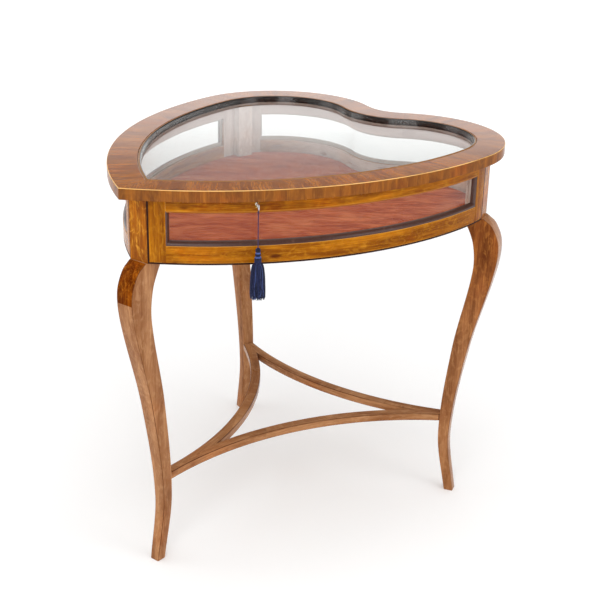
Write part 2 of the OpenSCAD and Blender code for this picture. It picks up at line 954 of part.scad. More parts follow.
// Lock case: a brass box with its top plate let into the rail, and the pin that the key turns on
module lock_case() {
  color("#b08d3e")
    at_lock() {
      difference() {
        union() {
          lock_block(lock_front_d, inner_d, -lock_len/2, lock_len/2, lock_z, case_top);
          lock_block(lock_front_d, inner_d, -lock_len/2 - lock_flange, lock_len/2 + lock_flange,
            case_top - lock_plate_t, case_top);
        }
        lock_block(lock_front_d + lock_wall, inner_d - lock_wall, -lock_len/2 + lock_wall,
          lock_len/2 - lock_wall, lock_z + lock_wall, case_top - lock_plate_t);
        keyhole_run(lock_front_d - over, lock_front_d + lock_wall + over, 0);
        for (s = [-1, 1])
          lock_block(bolt_d0 - 0.7, bolt_d0 + eye_d + 0.7, s*eye_y - eye_t/2 - 0.7,
            s*eye_y + eye_t/2 + 0.7, case_top - lock_plate_t - over, case_top + over);
        lock_screws(0);
      }
      translate([-inner_d + lock_wall/2, 0, key_z])
        rotate([0, 90, 0])
          cylinder(r = shank_r/2, h = inner_d - lock_front_d - lock_wall/2, $fn = 32);
    }
}

// Bolt: a strip behind the eyes that carries two fingers and the notch that the key's bit pushes
module lock_bolt() {
  notch_y0 = -bit_t/2 - 0.3;
  notch_y1 = bit_t/2 + 1.3;
  finger_y0 = eye_y - eye_t/2 - 0.6;
  bit_d1 = bolt_d0 + eye_d;
  finger_z0 = (bolt_z0 + bolt_z1)/2 - finger/2;
  color("#c9a24c")
    at_lock()
      difference() {
        union() {
          lock_block(strip_d0, strip_d1, -eye_y - 9.5, eye_y - 1.5, bolt_z0, bolt_z1);
          lock_block(bolt_d0, strip_d0, -6, eye_y - eye_t/2 - bolt_throw - 0.4, bolt_z0, bolt_z1);
          lock_block(bolt_d0, strip_d0, -eye_y - 9.5, -eye_y - eye_t/2 - bolt_throw - 0.4, bolt_z0, bolt_z1);
          lock_block(bolt_d0 + 1, bolt_d0 + 1 + finger, -eye_y - eye_t/2 - bolt_throw - over,
            -finger_y0 - eye_t - 1.2, finger_z0, finger_z0 + finger);
          lock_block(bolt_d0 + 1, bolt_d0 + 1 + finger, eye_y - eye_t/2 - bolt_throw - over,
            finger_y0, finger_z0, finger_z0 + finger);
        }
        lock_block(bolt_d0 - over, bit_d1 + lock_clear, notch_y0, notch_y1, notch_floor, bolt_z1 + over);
      }
}

// Link plate: let into the underside of the lid, with two eyes that drop into the lock
module link_plate() {
  finger_z0 = (bolt_z0 + bolt_z1)/2 - eye_hole/2;
  color("#b08d3e")
    at_lock()
      difference() {
        union() {
          lock_block(lock_front_d, inner_d, -link_len/2, link_len/2, lid_z, lid_z + lock_plate_t);
          for (s = [-1, 1])
            lock_block(bolt_d0, bolt_d0 + eye_d, s*eye_y - eye_t/2, s*eye_y + eye_t/2,
              bolt_z0 + 0.3, lid_z + over);
        }
        for (s = [-1, 1])
          lock_block(bolt_d0 + 1 - 1.5*lock_clear, bolt_d0 + 1 - 1.5*lock_clear + eye_hole,
            s*eye_y - eye_t, s*eye_y + eye_t, finger_z0, finger_z0 + eye_hole);
        link_screws();
      }
}

module escutcheon() {
  color("#b08d3e")
    at_lock()
      difference() {
        keyhole_run(face_d, face_d + escutcheon_t, escutcheon_rim);
        keyhole_run(face_d - over, face_d + escutcheon_t + over, 0);
      }
}

// Key: pipe shank on the lock's pin, bit, collar and ring bow
module key() {
  bit_d0 = bolt_d0 + lock_clear;
  bit_d1 = bolt_d0 + eye_d;
  shank_d0 = bow_d + bow_r;
  pipe_len = inner_d - lock_front_d - lock_wall/2;
  color("#c8c4b8")
    at_lock()
      translate([0, 0, key_z]) {
        difference() {
          union() {
            translate([-bit_d1, 0, 0]) rotate([0, 90, 0]) cylinder(r = shank_r, h = bit_d1 - shank_d0, $fn = 48);
            translate([-bit_d1, -bit_t/2, -bit_r]) cube([bit_d1 - bit_d0, bit_t, bit_r]);
            translate([-face_d + 1, 0, 0]) rotate([0, 90, 0]) cylinder(r = shank_r + 0.9, h = 1.6, $fn = 48);
          }
          translate([-bit_d1 - over, 0, 0])
            rotate([0, 90, 0])
              cylinder(r = shank_r/2 + 0.06, h = pipe_len + over, $fn = 32);
        }
        translate([-bow_d, 0, 0])
          rotate([90, 0, 0])
            rotate_extrude($fn = 60)
              translate([bow_r, 0]) circle(r = bow_wire_r, $fn = 20);
      }
}

// Loop of cord round the bow's wire, with its knot
module cord_loop() {
  color("#232a56")
    at_lock()
      translate([-bow_d, 0, 0]) {
        translate([0, 0, bow_low_z])
          rotate([0, 90, 0])
            rotate_extrude($fn = 32)
              translate([loop_reach, 0]) circle(r = loop_r, $fn = 14);
        translate([0, 0, knot_z]) sphere(r = knot_r, $fn = 24);
      }
}

// Free cord: one tube swept down its route
cord_sides = 8;
cord_rings = 14;
cord_route = [for (i = [0:cord_rings]) [-bow_d, 0, cord_top_z - cord_len*i/cord_rings]];

module tube(route, r, n) {
  m = len(route) - 1;
  pts = [for (p = route) for (k = [0:n-1]) p + [r*cos(360*k/n), -r*sin(360*k/n), 0]];
  walls = [for (i = [0:m-1]) for (k = [0:n-1])
    [i*n + k, i*n + (k+1)%n, (i+1)*n + (k+1)%n, (i+1)*n + k]];
  faces = [for (f = walls) for (h = [0, 1]) h == 0 ? [f[0], f[2], f[1]] : [f[0], f[3], f[2]]];
  caps = concat(
    [for (k = [1:n-2]) [0, k, k + 1]],
    [for (k = [1:n-2]) [m*n, m*n + k + 1, m*n + k]]
  );
  polyhedron(points = pts, faces = concat(faces, caps));
}

module tassel_cord() {
  color("#232a56") at_lock() tube(cord_route, cord_r, cord_sides);
}

// Tassel: a turned head, a bound neck and a flared skirt
neck_r = tassel_head_r*0.82;

module tassel() {
  head_z = tassel_z - tassel_head_h;
  skirt_z = head_z - skirt_h;
  color("#1d2450")
    at_lock()
      translate([-bow_d, 0, 0])
        rotate_extrude($fn = 48)
          polygon(concat(
            [[0, tassel_z]],
            [for (i = [0:6]) [
              1.6 + (tassel_head_r - 1.6)*sin(15*i),
              tassel_z - tassel_head_h*0.3*(1 - cos(15*i))
            ]],
            [[tassel_head_r, head_z + 6], [neck_r, head_z + 4], [neck_r, head_z]],
            [for (i = [0:6]) [
              neck_r + (skirt_r - neck_r)*pow(sin(15*i), 0.35),
              head_z - 1.5 - (skirt_h - 1.5)*pow(i/6, 1.6)
            ]],
            [[0, skirt_z]]
          ));
}

// Lid: five curved rails joined end to end
module lid_profile() {
  block(0, lid_rail_w, lid_z, lid_top);
}

module lid_right_rail() {
  color("#8c5626")
    difference() {
      mitred_side_run(0) lid_profile();
      at_lock() {
        lock_block(lock_front_d - 0.1, inner_d + 0.1, -link_len/2 - 0.1, link_len/2 + 0.1,
          lid_z - over, lid_z + lock_plate_t);
        link_screws();
      }
    }
}

module lid_left_rail() {
  color("#8c5626") mirror([1, 0, 0]) mitred_side_run(0) lid_profile();
}

module lid_back_right_rail() {
  color("#8c5626")
    difference() {
      lobe_run(0, crest_a) lid_profile();
      translate([lobe_x, 0, 0]) {
        translate([-hinge_len/2 - 0.1, hinge_y - leaf_w - 0.1, lid_z - over])
          cube([hinge_len + 0.2, leaf_w + 0.1, leaf_t + over]);
        barrel(knuckle_r + knuckle_gap, -hinge_len/2 - knuckle_gap, hinge_len/2 + knuckle_gap);
        moving_screws();
      }
    }
}

module lid_back_left_rail() {
  mirror([1, 0, 0]) lid_back_right_rail();
}

module lid_back_middle_rail() {
  color("#8c5626") middle_run() lid_profile();
}

// Lid glass on its seat bead, held down by the black top bead
glass_z = lid_z + lid_seat_h;
bead_round = lid_bead_w/2;

module lid_seat_bead() {
  color("#15110f") heart_ring() block(lid_rail_w, lid_rail_w + lid_bead_w, lid_z + 0.5, glass_z);
}

module lid_glass() {
  color("#dfeaea", 0.3)
    translate([0, 0, glass_z])
      linear_extrude(height = lid_glass_t)
        polygon(heart_pts(lid_rail_w + pane_clear));
}

module lid_top_bead_profile() {
  polygon(concat(
    [[lid_rail_w, glass_z + lid_glass_t + 0.1]],
    [[lid_rail_w + lid_bead_w, glass_z + lid_glass_t + 0.1]],
    arc_pts([lid_rail_w + bead_round, height - bead_round], bead_round, 0, 180, 8)
  ));
}

module lid_top_bead() {
  color("#15110f") heart_ring() lid_top_bead_profile();
}

front_leg();
right_leg();
left_leg();
right_top_rail();
left_top_rail();
back_right_top_rail();
back_left_top_rail();
back_middle_top_rail();
right_bottom_rail();
left_bottom_rail();
back_right_bottom_rail();
back_left_bottom_rail();
back_middle_bottom_rail();
right_front_stile();
left_front_stile();
right_rear_stile();
left_rear_stile();
back_right_stile();
back_left_stile();
right_pane();
left_pane();
back_pane();
right_bead();
left_bead();
back_bead();
corner_lines();
base_lines();
baseboard();
velvet_lining();
right_stretcher();
left_stretcher();
back_stretcher();
lock_case();
lock_bolt();
escutcheon();
link_plate();
key();
cord_loop();
tassel_cord();
tassel();
right_fixed_leaf();
left_fixed_leaf();
right_moving_leaf();
left_moving_leaf();
right_hinge_pin();
left_hinge_pin();
case_screws();
lid_screws();
lid_right_rail();
lid_left_rail();
lid_back_right_rail();
lid_back_left_rail();
lid_back_middle_rail();
lid_seat_bead();
lid_glass();
lid_top_bead();
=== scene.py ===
"""Heart-shaped glazed display table on three cabriole legs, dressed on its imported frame."""

import json
import logging
import math
from dataclasses import dataclass, field, replace
from enum import Enum

import bmesh
import bpy
import numpy as np
from mathutils import Matrix, Vector
from mathutils.geometry import delaunay_2d_cdt

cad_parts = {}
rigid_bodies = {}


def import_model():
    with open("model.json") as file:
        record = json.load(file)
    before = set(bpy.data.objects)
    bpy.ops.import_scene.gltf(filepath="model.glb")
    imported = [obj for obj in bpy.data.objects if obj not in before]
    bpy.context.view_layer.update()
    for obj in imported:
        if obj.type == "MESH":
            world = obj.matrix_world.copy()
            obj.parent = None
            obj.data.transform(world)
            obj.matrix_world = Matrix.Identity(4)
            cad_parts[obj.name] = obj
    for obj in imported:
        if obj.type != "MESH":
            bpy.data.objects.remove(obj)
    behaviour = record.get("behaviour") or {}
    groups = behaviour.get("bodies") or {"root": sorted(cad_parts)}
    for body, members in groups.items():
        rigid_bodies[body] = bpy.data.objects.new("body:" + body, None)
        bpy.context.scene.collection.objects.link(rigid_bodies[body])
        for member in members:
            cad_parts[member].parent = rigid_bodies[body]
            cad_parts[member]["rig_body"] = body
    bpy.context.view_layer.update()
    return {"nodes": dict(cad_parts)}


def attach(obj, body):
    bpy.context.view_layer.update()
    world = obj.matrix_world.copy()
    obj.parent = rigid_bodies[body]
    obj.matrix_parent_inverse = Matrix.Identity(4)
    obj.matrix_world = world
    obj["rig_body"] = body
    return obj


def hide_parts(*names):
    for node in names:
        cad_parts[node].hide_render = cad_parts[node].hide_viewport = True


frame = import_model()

log = logging.getLogger("display_table")
MM = 0.001

Piece = bpy.types.Object
Material = bpy.types.Material
Pair = tuple[float, float]

# How near two points of a copied shape lie before they are merged, in metres
MERGE = 2e-6
# Way along the grain from the wood of the right half to that of the left half
LEFT_WOOD = 1.7
# Share of a piece's shift along the grain that its wood also takes across it
CROSS_SHIFT = 0.37
# Angle between two faces, in radians, from which their edge is an arris
ARRIS_ANGLE = 0.6
# Length, in widths of the arris, under which an edge and its neighbours stay sharp
ARRIS_LENGTHS = 3.2
# How far an edge may stray in depth and height and still run along its arc
ALONG_ARC = 0.001


def tone(code: str) -> tuple[float, float, float, float]:
    """Turn a written colour into the linear colour that a shader takes.

    Args:
        code: Six hexadecimal digits, red, green and blue.

    Returns:
        Linear red, green, blue and an alpha of 1.
    """
    parts = [int(code[i : i + 2], 16) / 255 for i in (0, 2, 4)]
    line = [p / 12.92 if p <= 0.04045 else ((p + 0.055) / 1.055) ** 2.4 for p in parts]
    return (line[0], line[1], line[2], 1.0)


class Grain(Enum):
    """Which way the grain of a wooden piece runs."""

    ALONG = "along the run"
    UPRIGHT = "up and down"
    ACROSS = "from the edge inward"


@dataclass(frozen=True)
class Arc:
    """One arc of the heart's outline, which pieces of the case and the lid follow."""

    centre: Pair
    radius: float
    hollow: bool = False
    mirrored: bool = False

    def measure(self, co: np.ndarray) -> np.ndarray:
        """Give each point's way along the arc, its depth in from the lid's edge and its height.

        Args:
            co: Points, one row each.

        Returns:
            Rows of length along the arc, depth and height.
        """
        x = -co[:, 0] if self.mirrored else co[:, 0]
        dx, dy = x - self.centre[0], co[:, 1] - self.centre[1]
        reach = np.hypot(dx, dy)
        turn = np.arctan2(dx, -dy) if self.hollow else np.arctan2(dy, dx)
        depth = reach - self.radius if self.hollow else self.radius - reach
        run = turn * self.radius + (LEFT_WOOD if self.mirrored else 0.0)
        return np.stack([run, depth, co[:, 2]], axis=1)


def arc_points(centre: Pair, r: float, a0: float, a1: float, steps: int) -> np.ndarray:
    """Points along an arc.

    Args:
        centre: Its centre.
        r: Its radius.
        a0: Direction in which it starts, in radians from +X.
        a1: Direction in which it ends.
        steps: How many steps it is divided into.

    Returns:
        Rows of x and y, one more than there are steps.
    """
    a = np.linspace(a0, a1, steps + 1)
    return np.stack([centre[0] + r * np.cos(a), centre[1] + r * np.sin(a)], 1)


@dataclass(frozen=True)
class HeartOutline:
    """The lid's edge: a lobe and a long side to each half, with a hollow between the lobes."""

    heart_w: float = 0.700
    lobe_r: float = 0.198
    side_r: float = 0.694
    cleft_r: float = 0.080

    @property
    def lobe_x(self) -> float:
        """Half the distance between the lobes' centres."""
        return self.heart_w / 2 - self.lobe_r

    @property
    def side_x(self) -> float:
        """Where the right side's centre lies, left of the middle."""
        return self.heart_w / 2 - self.side_r

    @property
    def join_y(self) -> float:
        """Where the long sides meet the lobes."""
        drop = math.sqrt(self.side_r**2 - self.side_x**2)
        return (drop - self.lobe_r) / 2

    @property
    def cleft_y(self) -> float:
        """Where the hollow's centre lies."""
        return self.join_y + math.sqrt((self.lobe_r + self.cleft_r) ** 2 - self.lobe_x**2)

    @property
    def crest_a(self) -> float:
        """Direction, round the lobe's centre, in which lobe and hollow meet."""
        return math.atan2(self.cleft_y - self.join_y, -self.lobe_x)

    def side(self, mirrored: bool = False) -> Arc:
        """The arc of one long side."""
        return Arc((self.side_x, self.join_y), self.side_r, False, mirrored)

    def lobe(self, mirrored: bool = False) -> Arc:
        """The arc of one lobe."""
        return Arc((self.lobe_x, self.join_y), self.lobe_r, False, mirrored)

    def cleft(self) -> Arc:
        """The arc of the hollow between the lobes."""
        return Arc((0.0, self.cleft_y), self.cleft_r, True)

    def half(self, depth: float, steps: tuple[int, int, int]) -> np.ndarray:
        """Points of the right half at one depth, from the heart's point to the hollow.

        Args:
            depth: Depth in from the lid's edge.
            steps: How many steps the side, the lobe and the hollow get.

        Returns:
            Rows of x and y, the first and last of them on the middle line.
        """
        side, lobe, cleft, crest = self.side(), self.lobe(), self.cleft(), self.crest_a
        start = -math.acos(-self.side_x / (self.side_r - depth))
        return np.concatenate([
            arc_points(side.centre, side.radius - depth, start, 0.0, steps[0]),
            arc_points(lobe.centre, lobe.radius - depth, 0.0, crest, steps[1])[1:],
            arc_points(cleft.centre, cleft.radius + depth, crest - math.pi, -math.pi / 2,
                       steps[2])[1:]])

    def ring(self, depth: float, steps: tuple[int, int, int] = (40, 36, 12)) -> np.ndarray:
        """Points of the whole outline at one depth, anticlockwise from the heart's point.

        Args:
            depth: Depth in from the lid's edge.
            steps: How many steps the side, the lobe and the hollow of each half get.

        Returns:
            Rows of x and y.
        """
        half = self.half(depth, steps)
        left = half[1:-1][::-1] * (-1.0, 1.0)
        return np.concatenate([half, left])


HEART = HeartOutline()


def new_object(name: str, data: object) -> Piece:
    """Make an object and link it to the scene.

    Args:
        name: Its name.
        data: Its mesh, camera or lamp.

    Returns:
        The object.
    """
    obj = bpy.data.objects.new(name, data)
    bpy.context.scene.collection.objects.link(obj)
    return obj


def mesh_piece(name: str, verts: np.ndarray | list, faces: list,
               smooth_angle: float = 35.0) -> Piece:
    """Make a mesh object at the origin from points and faces.

    Args:
        name: Name of the piece.
        verts: Points in metres, in the part's frame.
        faces: Faces as tuples of point numbers.
        smooth_angle: Angle in degrees above which an edge stays sharp.

    Returns:
        The new object, linked to the scene.
    """
    mesh = bpy.data.meshes.new(name)
    mesh.from_pydata([tuple(map(float, v)) for v in verts], [], [tuple(f) for f in faces])
    mesh.validate()
    bm = bmesh.new()
    bm.from_mesh(mesh)
    bmesh.ops.remove_doubles(bm, verts=bm.verts, dist=1e-6)
    bmesh.ops.recalc_face_normals(bm, faces=bm.faces)
    bm.to_mesh(mesh)
    bm.free()
    mesh.shade_smooth()
    mesh.set_sharp_from_angle(angle=math.radians(smooth_angle))
    return new_object(name, mesh)


def settle(obj: Piece) -> Piece:
    """Apply every modifier of a piece, so that a plain mesh is left.

    Args:
        obj: The piece.

    Returns:
        The same piece.
    """
    bpy.context.view_layer.update()
    graph = bpy.context.evaluated_depsgraph_get()
    done = bpy.data.meshes.new_from_object(obj.evaluated_get(graph), depsgraph=graph)
    obj.modifiers.clear()
    obj.data = done
    return obj


def grid_faces(rows: int, cols: int, wrap: bool, caps: bool = False) -> list[tuple[int, ...]]:
    """Faces of a tube whose rings are stored one after another.

    Args:
        rows: How many rings there are.
        cols: How many points each ring has.
        wrap: Whether the last ring joins the first.
        caps: Whether the two end rings are closed.

    Returns:
        The faces.
    """
    faces = []
    for i in range(rows if wrap else rows - 1):
        j = (i + 1) % rows
        for k in range(cols):
            m = (k + 1) % cols
            faces.append((i * cols + k, i * cols + m, j * cols + m, j * cols + k))
    if caps:
        faces.append(tuple(range(cols))[::-1])
        faces.append(tuple((rows - 1) * cols + k for k in range(cols)))
    return faces


def store(obj: Piece, name: str, rows: np.ndarray | list, domain: str) -> None:
    """Store numbers or vectors on a piece, for its material to read.

    Args:
        obj: The piece.
        name: Name of the attribute.
        rows: One number or one vector for each point, corner or face.
        domain: POINT, CORNER or FACE.
    """
    values = np.array(rows, np.float32)
    kind, key = ("FLOAT", "value") if values.ndim == 1 else ("FLOAT_VECTOR", "vector")
    layer = obj.data.attributes.get(name) or obj.data.attributes.new(name, kind, domain)
    layer.data.foreach_set(key, values.ravel())


def points_of(obj: Piece) -> np.ndarray:
    """All points of a mesh piece, one row each.

    Args:
        obj: The piece.

    Returns:
        The rows.
    """
    co = np.zeros(len(obj.data.vertices) * 3, np.float32)
    obj.data.vertices.foreach_get("co", co)
    return co.reshape(-1, 3).astype(float)


def grain_rows(arc: Arc | None, co: np.ndarray, grain: Grain, shift: float) -> np.ndarray:
    """Coordinates for the wood of a piece: along the grain first, then across it twice.

    Args:
        arc: The arc that the piece follows, or None for a straight piece.
        co: Points of the piece.
        grain: Which way the grain runs.
        shift: Offset that gives each piece its own stretch of wood.

    Returns:
        One row for each point.
    """
    run = arc.measure(co) if arc else co[:, [1, 0, 2]]
    order = {Grain.ALONG: [0, 1, 2], Grain.UPRIGHT: [2, 0, 1], Grain.ACROSS: [1, 0, 2]}[grain]
    rows = run[:, order].copy()
    rows[:, 0] += shift
    rows[:, 2] += CROSS_SHIFT * shift
    return rows


def face_middles(obj: Piece, out: float = 0.0) -> np.ndarray:
    """Middles of all faces of a piece, moved out along their normals, one row each."""
    return np.array([p.center + p.normal * out for p in obj.data.polygons])


def ease_arrises(bm: bmesh.types.BMesh, arris: float, arc: Arc | None = None) -> None:
    """Bevel the long sharp edges of a mesh and mark the new faces for the arris colour, partly wear
    and partly a painted highlight.

    Args:
        bm: The mesh.
        arris: Width of the eased arris in metres.
        arc: If given, only edges that run along this arc are eased, so that joints stay tight.
    """
    worn = bm.faces.layers.float.new("worn")
    sharp = {e for e in bm.edges
             if len(e.link_faces) == 2 and e.calc_face_angle(0) > ARRIS_ANGLE}
    short = {v for e in sharp if e.calc_length() < ARRIS_LENGTHS * arris for v in e.verts}
    keep = [e for e in sharp if not (set(e.verts) & short)]
    if arc:
        ends = [np.array([v.co for v in e.verts]) for e in keep]
        spans = [np.ptp(arc.measure(pair), axis=0) for pair in ends]
        keep = [e for e, span in zip(keep, spans) if max(span[1:]) < ALONG_ARC]
    made = bmesh.ops.bevel(
        bm, geom=keep, offset=arris, offset_type="OFFSET", segments=2, profile=0.5,
        affect="EDGES", clamp_overlap=False,
    )
    for face in made["faces"]:
        face[worn] = 1.0


def copy_of_node(node: str, arris: float, smooth_angle: float = 40.0,
                 along: Arc | None = None) -> Piece:
    """Copy a node's shape as a clean mesh with its long arrises eased.

    Args:
        node: Name of the CAD node.
        arris: Width of the eased arris in metres, or 0 for none.
        smooth_angle: Angle in degrees above which an edge stays sharp.
        along: If given, only edges that run along this arc are eased.

    Returns:
        The new piece.
    """
    mesh = frame["nodes"][node].data.copy()
    for layer in [a for a in mesh.attributes if a.name == "custom_normal"]:
        mesh.attributes.remove(layer)
    bm = bmesh.new()
    bm.from_mesh(mesh)
    bmesh.ops.remove_doubles(bm, verts=bm.verts, dist=MERGE)
    bmesh.ops.dissolve_limit(
        bm, angle_limit=math.radians(0.5), verts=bm.verts[:], edges=bm.edges[:]
    )
    if arris:
        ease_arrises(bm, arris, along)
    bm.to_mesh(mesh)
    bm.free()
    mesh.materials.clear()
    mesh.shade_smooth()
    mesh.set_sharp_from_angle(angle=math.radians(smooth_angle))
    obj = new_object(node + "_finished", mesh)
    if arris:
        even = obj.modifiers.new("Even", "WEIGHTED_NORMAL")
        even.keep_sharp = True
        even.weight = 60
        settle(obj)
    return obj


def hand_over(obj: Piece, body: str, material: Material) -> None:
    """Dress a finished piece, ride it on its body and log it.

    Args:
        obj: The piece, at the origin.
        body: Body that it moves with.
        material: Its finish.
    """
    obj.data.materials.clear()
    obj.data.materials.append(material)
    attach(obj, body)
    log.info("%s: %d faces, on %s", obj.name, len(obj.data.polygons), body)


def stand_in(obj: Piece, node: str, material: Material) -> None:
    """Hand a finished piece over in the place of a CAD node, on that node's body."""
    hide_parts(node)
    hand_over(obj, frame["nodes"][node]["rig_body"], material)


class Graph:
    """Adds and wires the nodes of one tree."""

    def __init__(self, tree: bpy.types.NodeTree) -> None:
        """Take over a tree, emptied first."""
        self.tree = tree
        tree.nodes.clear()

    def add(self, kind: str, inputs: dict | None = None, **settings: object) -> bpy.types.Node:
        """Add a node.

        Args:
            kind: Blender's name for the node's type.
            inputs: Values or sockets for its inputs, by name or number.
            settings: Its other settings.

        Returns:
            The node.
        """
        node = self.tree.nodes.new(kind)
        for key, value in settings.items():
            setattr(node, key, value)
        for key, value in (inputs or {}).items():
            if isinstance(value, bpy.types.NodeSocket):
                self.wire(value, node.inputs[key])
            else:
                node.inputs[key].default_value = value
        return node

    def wire(self, value: object, socket: object) -> None:
        """Link an output to an input."""
        self.tree.links.new(value, socket)

    def math(self, operation: str, a: object, b: object = 0.0, c: object = 0.0) -> object:
        """Add a Math node and give its result."""
        return self.add("ShaderNodeMath", {0: a, 1: b, 2: c}, operation=operation).outputs[0]

    def times(self, a: object, b: object) -> object:
        """Multiply two values."""
        return self.math("MULTIPLY", a, b)

    def stretch(self, vector: object, scale: tuple, shift: tuple = (0, 0, 0)) -> object:
        """Scale and shift a vector with a Mapping node and give its result."""
        return self.add(
            "ShaderNodeMapping", {"Vector": vector, "Scale": scale, "Location": shift}
        ).outputs[0]

    def noise(self, vector: object, scale: float, detail: float = 4.0, rough: float = 0.55,
              twist: float = 0.0) -> object:
        """Add a Noise Texture and give its value."""
        return self.add("ShaderNodeTexNoise", {
            "Vector": vector, "Scale": scale, "Detail": detail, "Roughness": rough,
            "Distortion": twist}).outputs["Fac"]

    def band(self, value: object, low: float, high: float, to_low: object = 0.0,
             to_high: object = 1.0) -> object:
        """Map a value from one range to another, with soft ends."""
        return self.add("ShaderNodeMapRange", {
            "Value": value, "From Min": low, "From Max": high, "To Min": to_low,
            "To Max": to_high}, interpolation_type="SMOOTHSTEP").outputs[0]

    def mix(self, factor: object, a: object, b: object, blend: str = "MIX") -> object:
        """Mix two colours and give the result."""
        return self.add("ShaderNodeMix", {0: factor, 6: a, 7: b}, data_type="RGBA",
                        blend_type=blend).outputs[2]

    def here(self) -> object:
        """Give each point's own place."""
        return self.add("ShaderNodeTexCoord").outputs["Object"]

    def mark(self, name: str, kind: str = "Fac") -> object:
        """Read an attribute that is stored on the piece."""
        return self.add("ShaderNodeAttribute", attribute_name=name).outputs[kind]

    def bump(self, height: object, strength: float, distance: float,
             under: object | None = None) -> object:
        """Turn a height into a normal, laid over the normal that is under it, if any."""
        below = {} if under is None else {"Normal": under}
        return self.add("ShaderNodeBump", {
            "Height": height, "Strength": strength, "Distance": distance, **below}).outputs[0]


def effect(name: str, takes: dict[str, str], gives: dict[str, str]) -> tuple:
    """Start a shader node group with named sockets.

    Args:
        name: Name of the group.
        takes: Input names and their socket types.
        gives: Output names and their socket types.

    Returns:
        The group, its graph, the sockets that it is given and its outputs' node.
    """
    tree = bpy.data.node_groups.new(name, "ShaderNodeTree")
    for way, sockets in (("INPUT", takes), ("OUTPUT", gives)):
        for label, kind in sockets.items():
            tree.interface.new_socket(label, in_out=way, socket_type="NodeSocket" + kind)
    graph = Graph(tree)
    return tree, graph, graph.add("NodeGroupInput").outputs, graph.add("NodeGroupOutput")


def wood_effect() -> bpy.types.NodeTree:
    """Build the group that draws sawn and polished wood: streaks, cross figure, pores and knots.

    Returns:
        The group, which gives a colour and a height.
    """
    tree, g, given, out = effect(
        "Polished wood",
        {"Vector": "Vector", "Light": "Color", "Middle": "Color", "Dark": "Color",
         "Figure": "Float", "Pores": "Float", "Knots": "Float", "Patches": "Float"},
        {"Color": "Color", "Height": "Float"},
    )
    along, light, dark = given["Vector"], given["Light"], given["Dark"]
    drift = g.noise(g.stretch(along, (2.0, 9.0, 9.0)), 1.0, 2.0)
    sway = g.add("ShaderNodeCombineXYZ", {
        0: 0.0, 1: g.times(drift, 0.02), 2: g.times(drift, 0.014)}).outputs[0]
    bent = g.add("ShaderNodeVectorMath", {0: along, 1: sway}, operation="ADD").outputs[0]
    broad = g.noise(g.stretch(bent, (5.0, 60.0, 60.0)), 1.0, 3.0, 0.5, 0.4)
    fine = g.noise(g.stretch(bent, (22.0, 520.0, 520.0)), 1.0, 5.0, 0.65)
    cross = g.noise(g.stretch(bent, (46.0, 85.0, 85.0)), 1.0, 3.0, 0.55, 1.3)
    cloud = g.noise(g.stretch(bent, (14.0, 22.0, 22.0), (3.1, 0.7, 1.9)), 1.0, 3.0, 0.55, 0.5)
    colour = g.mix(g.band(broad, 0.34, 0.68), dark, given["Middle"])
    colour = g.mix(g.times(g.band(cross, 0.44, 0.74), given["Figure"]), colour, light)
    colour = g.mix(g.band(fine, 0.35, 0.7, 0.42, 0.0), colour, dark)
    colour = g.mix(g.band(fine, 0.5, 0.75, 0.0, 0.4), colour, light)
    patch = g.times(g.band(cloud, 0.55, 0.74), given["Patches"])
    colour = g.mix(patch, colour, dark, "MULTIPLY")
    dashes = g.noise(g.stretch(bent, (90.0, 1700.0, 1700.0)), 1.0, 2.0, 0.4)
    pores = g.times(g.band(dashes, 0.63, 0.72), given["Pores"])
    colour = g.mix(g.times(pores, 0.7), colour, dark, "MULTIPLY")
    spots = g.add("ShaderNodeTexVoronoi", {
        "Vector": g.stretch(bent, (9.0, 26.0, 26.0)), "Scale": 1.0, "Randomness": 1.0})
    knots = g.times(g.band(spots.outputs["Distance"], 0.05, 0.14, 1.0, 0.0), given["Knots"])
    colour = g.mix(g.times(knots, 0.85), colour, dark, "MULTIPLY")
    g.wire(colour, out.inputs["Color"])
    g.wire(g.math("SUBTRACT", g.times(fine, 0.35), pores), out.inputs["Height"])
    return tree


def polish_effect() -> bpy.types.NodeTree:
    """Build the group for an old hand polish: uneven gloss, a slow ripple and fine scratches.

    Returns:
        The group, which gives a roughness and a height.
    """
    tree, g, given, out = effect(
        "Old polish",
        {"Vector": "Vector", "Low": "Float", "High": "Float", "Scratches": "Float"},
        {"Roughness": "Float", "Height": "Float"},
    )
    at = given["Vector"]
    cloud = g.noise(at, 26.0, 5.0, 0.6)
    smear = g.noise(g.stretch(at, (40.0, 260.0, 150.0)), 1.0, 3.0, 0.6)
    blend = g.math("MULTIPLY_ADD", smear, 0.4, g.times(cloud, 0.6))
    marks = g.add("ShaderNodeTexVoronoi", {
        "Vector": g.stretch(at, (60.0, 900.0, 420.0)), "Scale": 1.0}).outputs["Distance"]
    marks = g.times(g.band(marks, 0.02, 0.09, 1.0, 0.0), given["Scratches"])
    rough = g.band(blend, 0.36, 0.66, given["Low"], given["High"])
    g.wire(g.math("MULTIPLY_ADD", marks, 0.15, rough), out.inputs["Roughness"])
    ripple = g.math("SUBTRACT", g.noise(at, 60.0, 2.0), g.times(marks, 0.4))
    g.wire(ripple, out.inputs["Height"])
    return tree


WOOD = wood_effect()
POLISH = polish_effect()


def start_material(name: str) -> tuple:
    """Start a material with a Principled shader.

    Args:
        name: Name of the material.

    Returns:
        The material, its graph, its shader and its output node.
    """
    material = bpy.data.materials.new(name)
    material.use_nodes = True
    g = Graph(material.node_tree)
    shader = g.add("ShaderNodeBsdfPrincipled")
    out = g.add("ShaderNodeOutputMaterial", {"Surface": shader.outputs[0]})
    return material, g, shader, out


def join(g: Graph, shader: bpy.types.Node, **links: object) -> None:
    """Feed or set a shader's inputs, whose names are written with _ for a space."""
    for key, value in links.items():
        socket = shader.inputs[key.replace("_", " ")]
        if isinstance(value, bpy.types.NodeSocket):
            g.wire(value, socket)
        else:
            socket.default_value = value


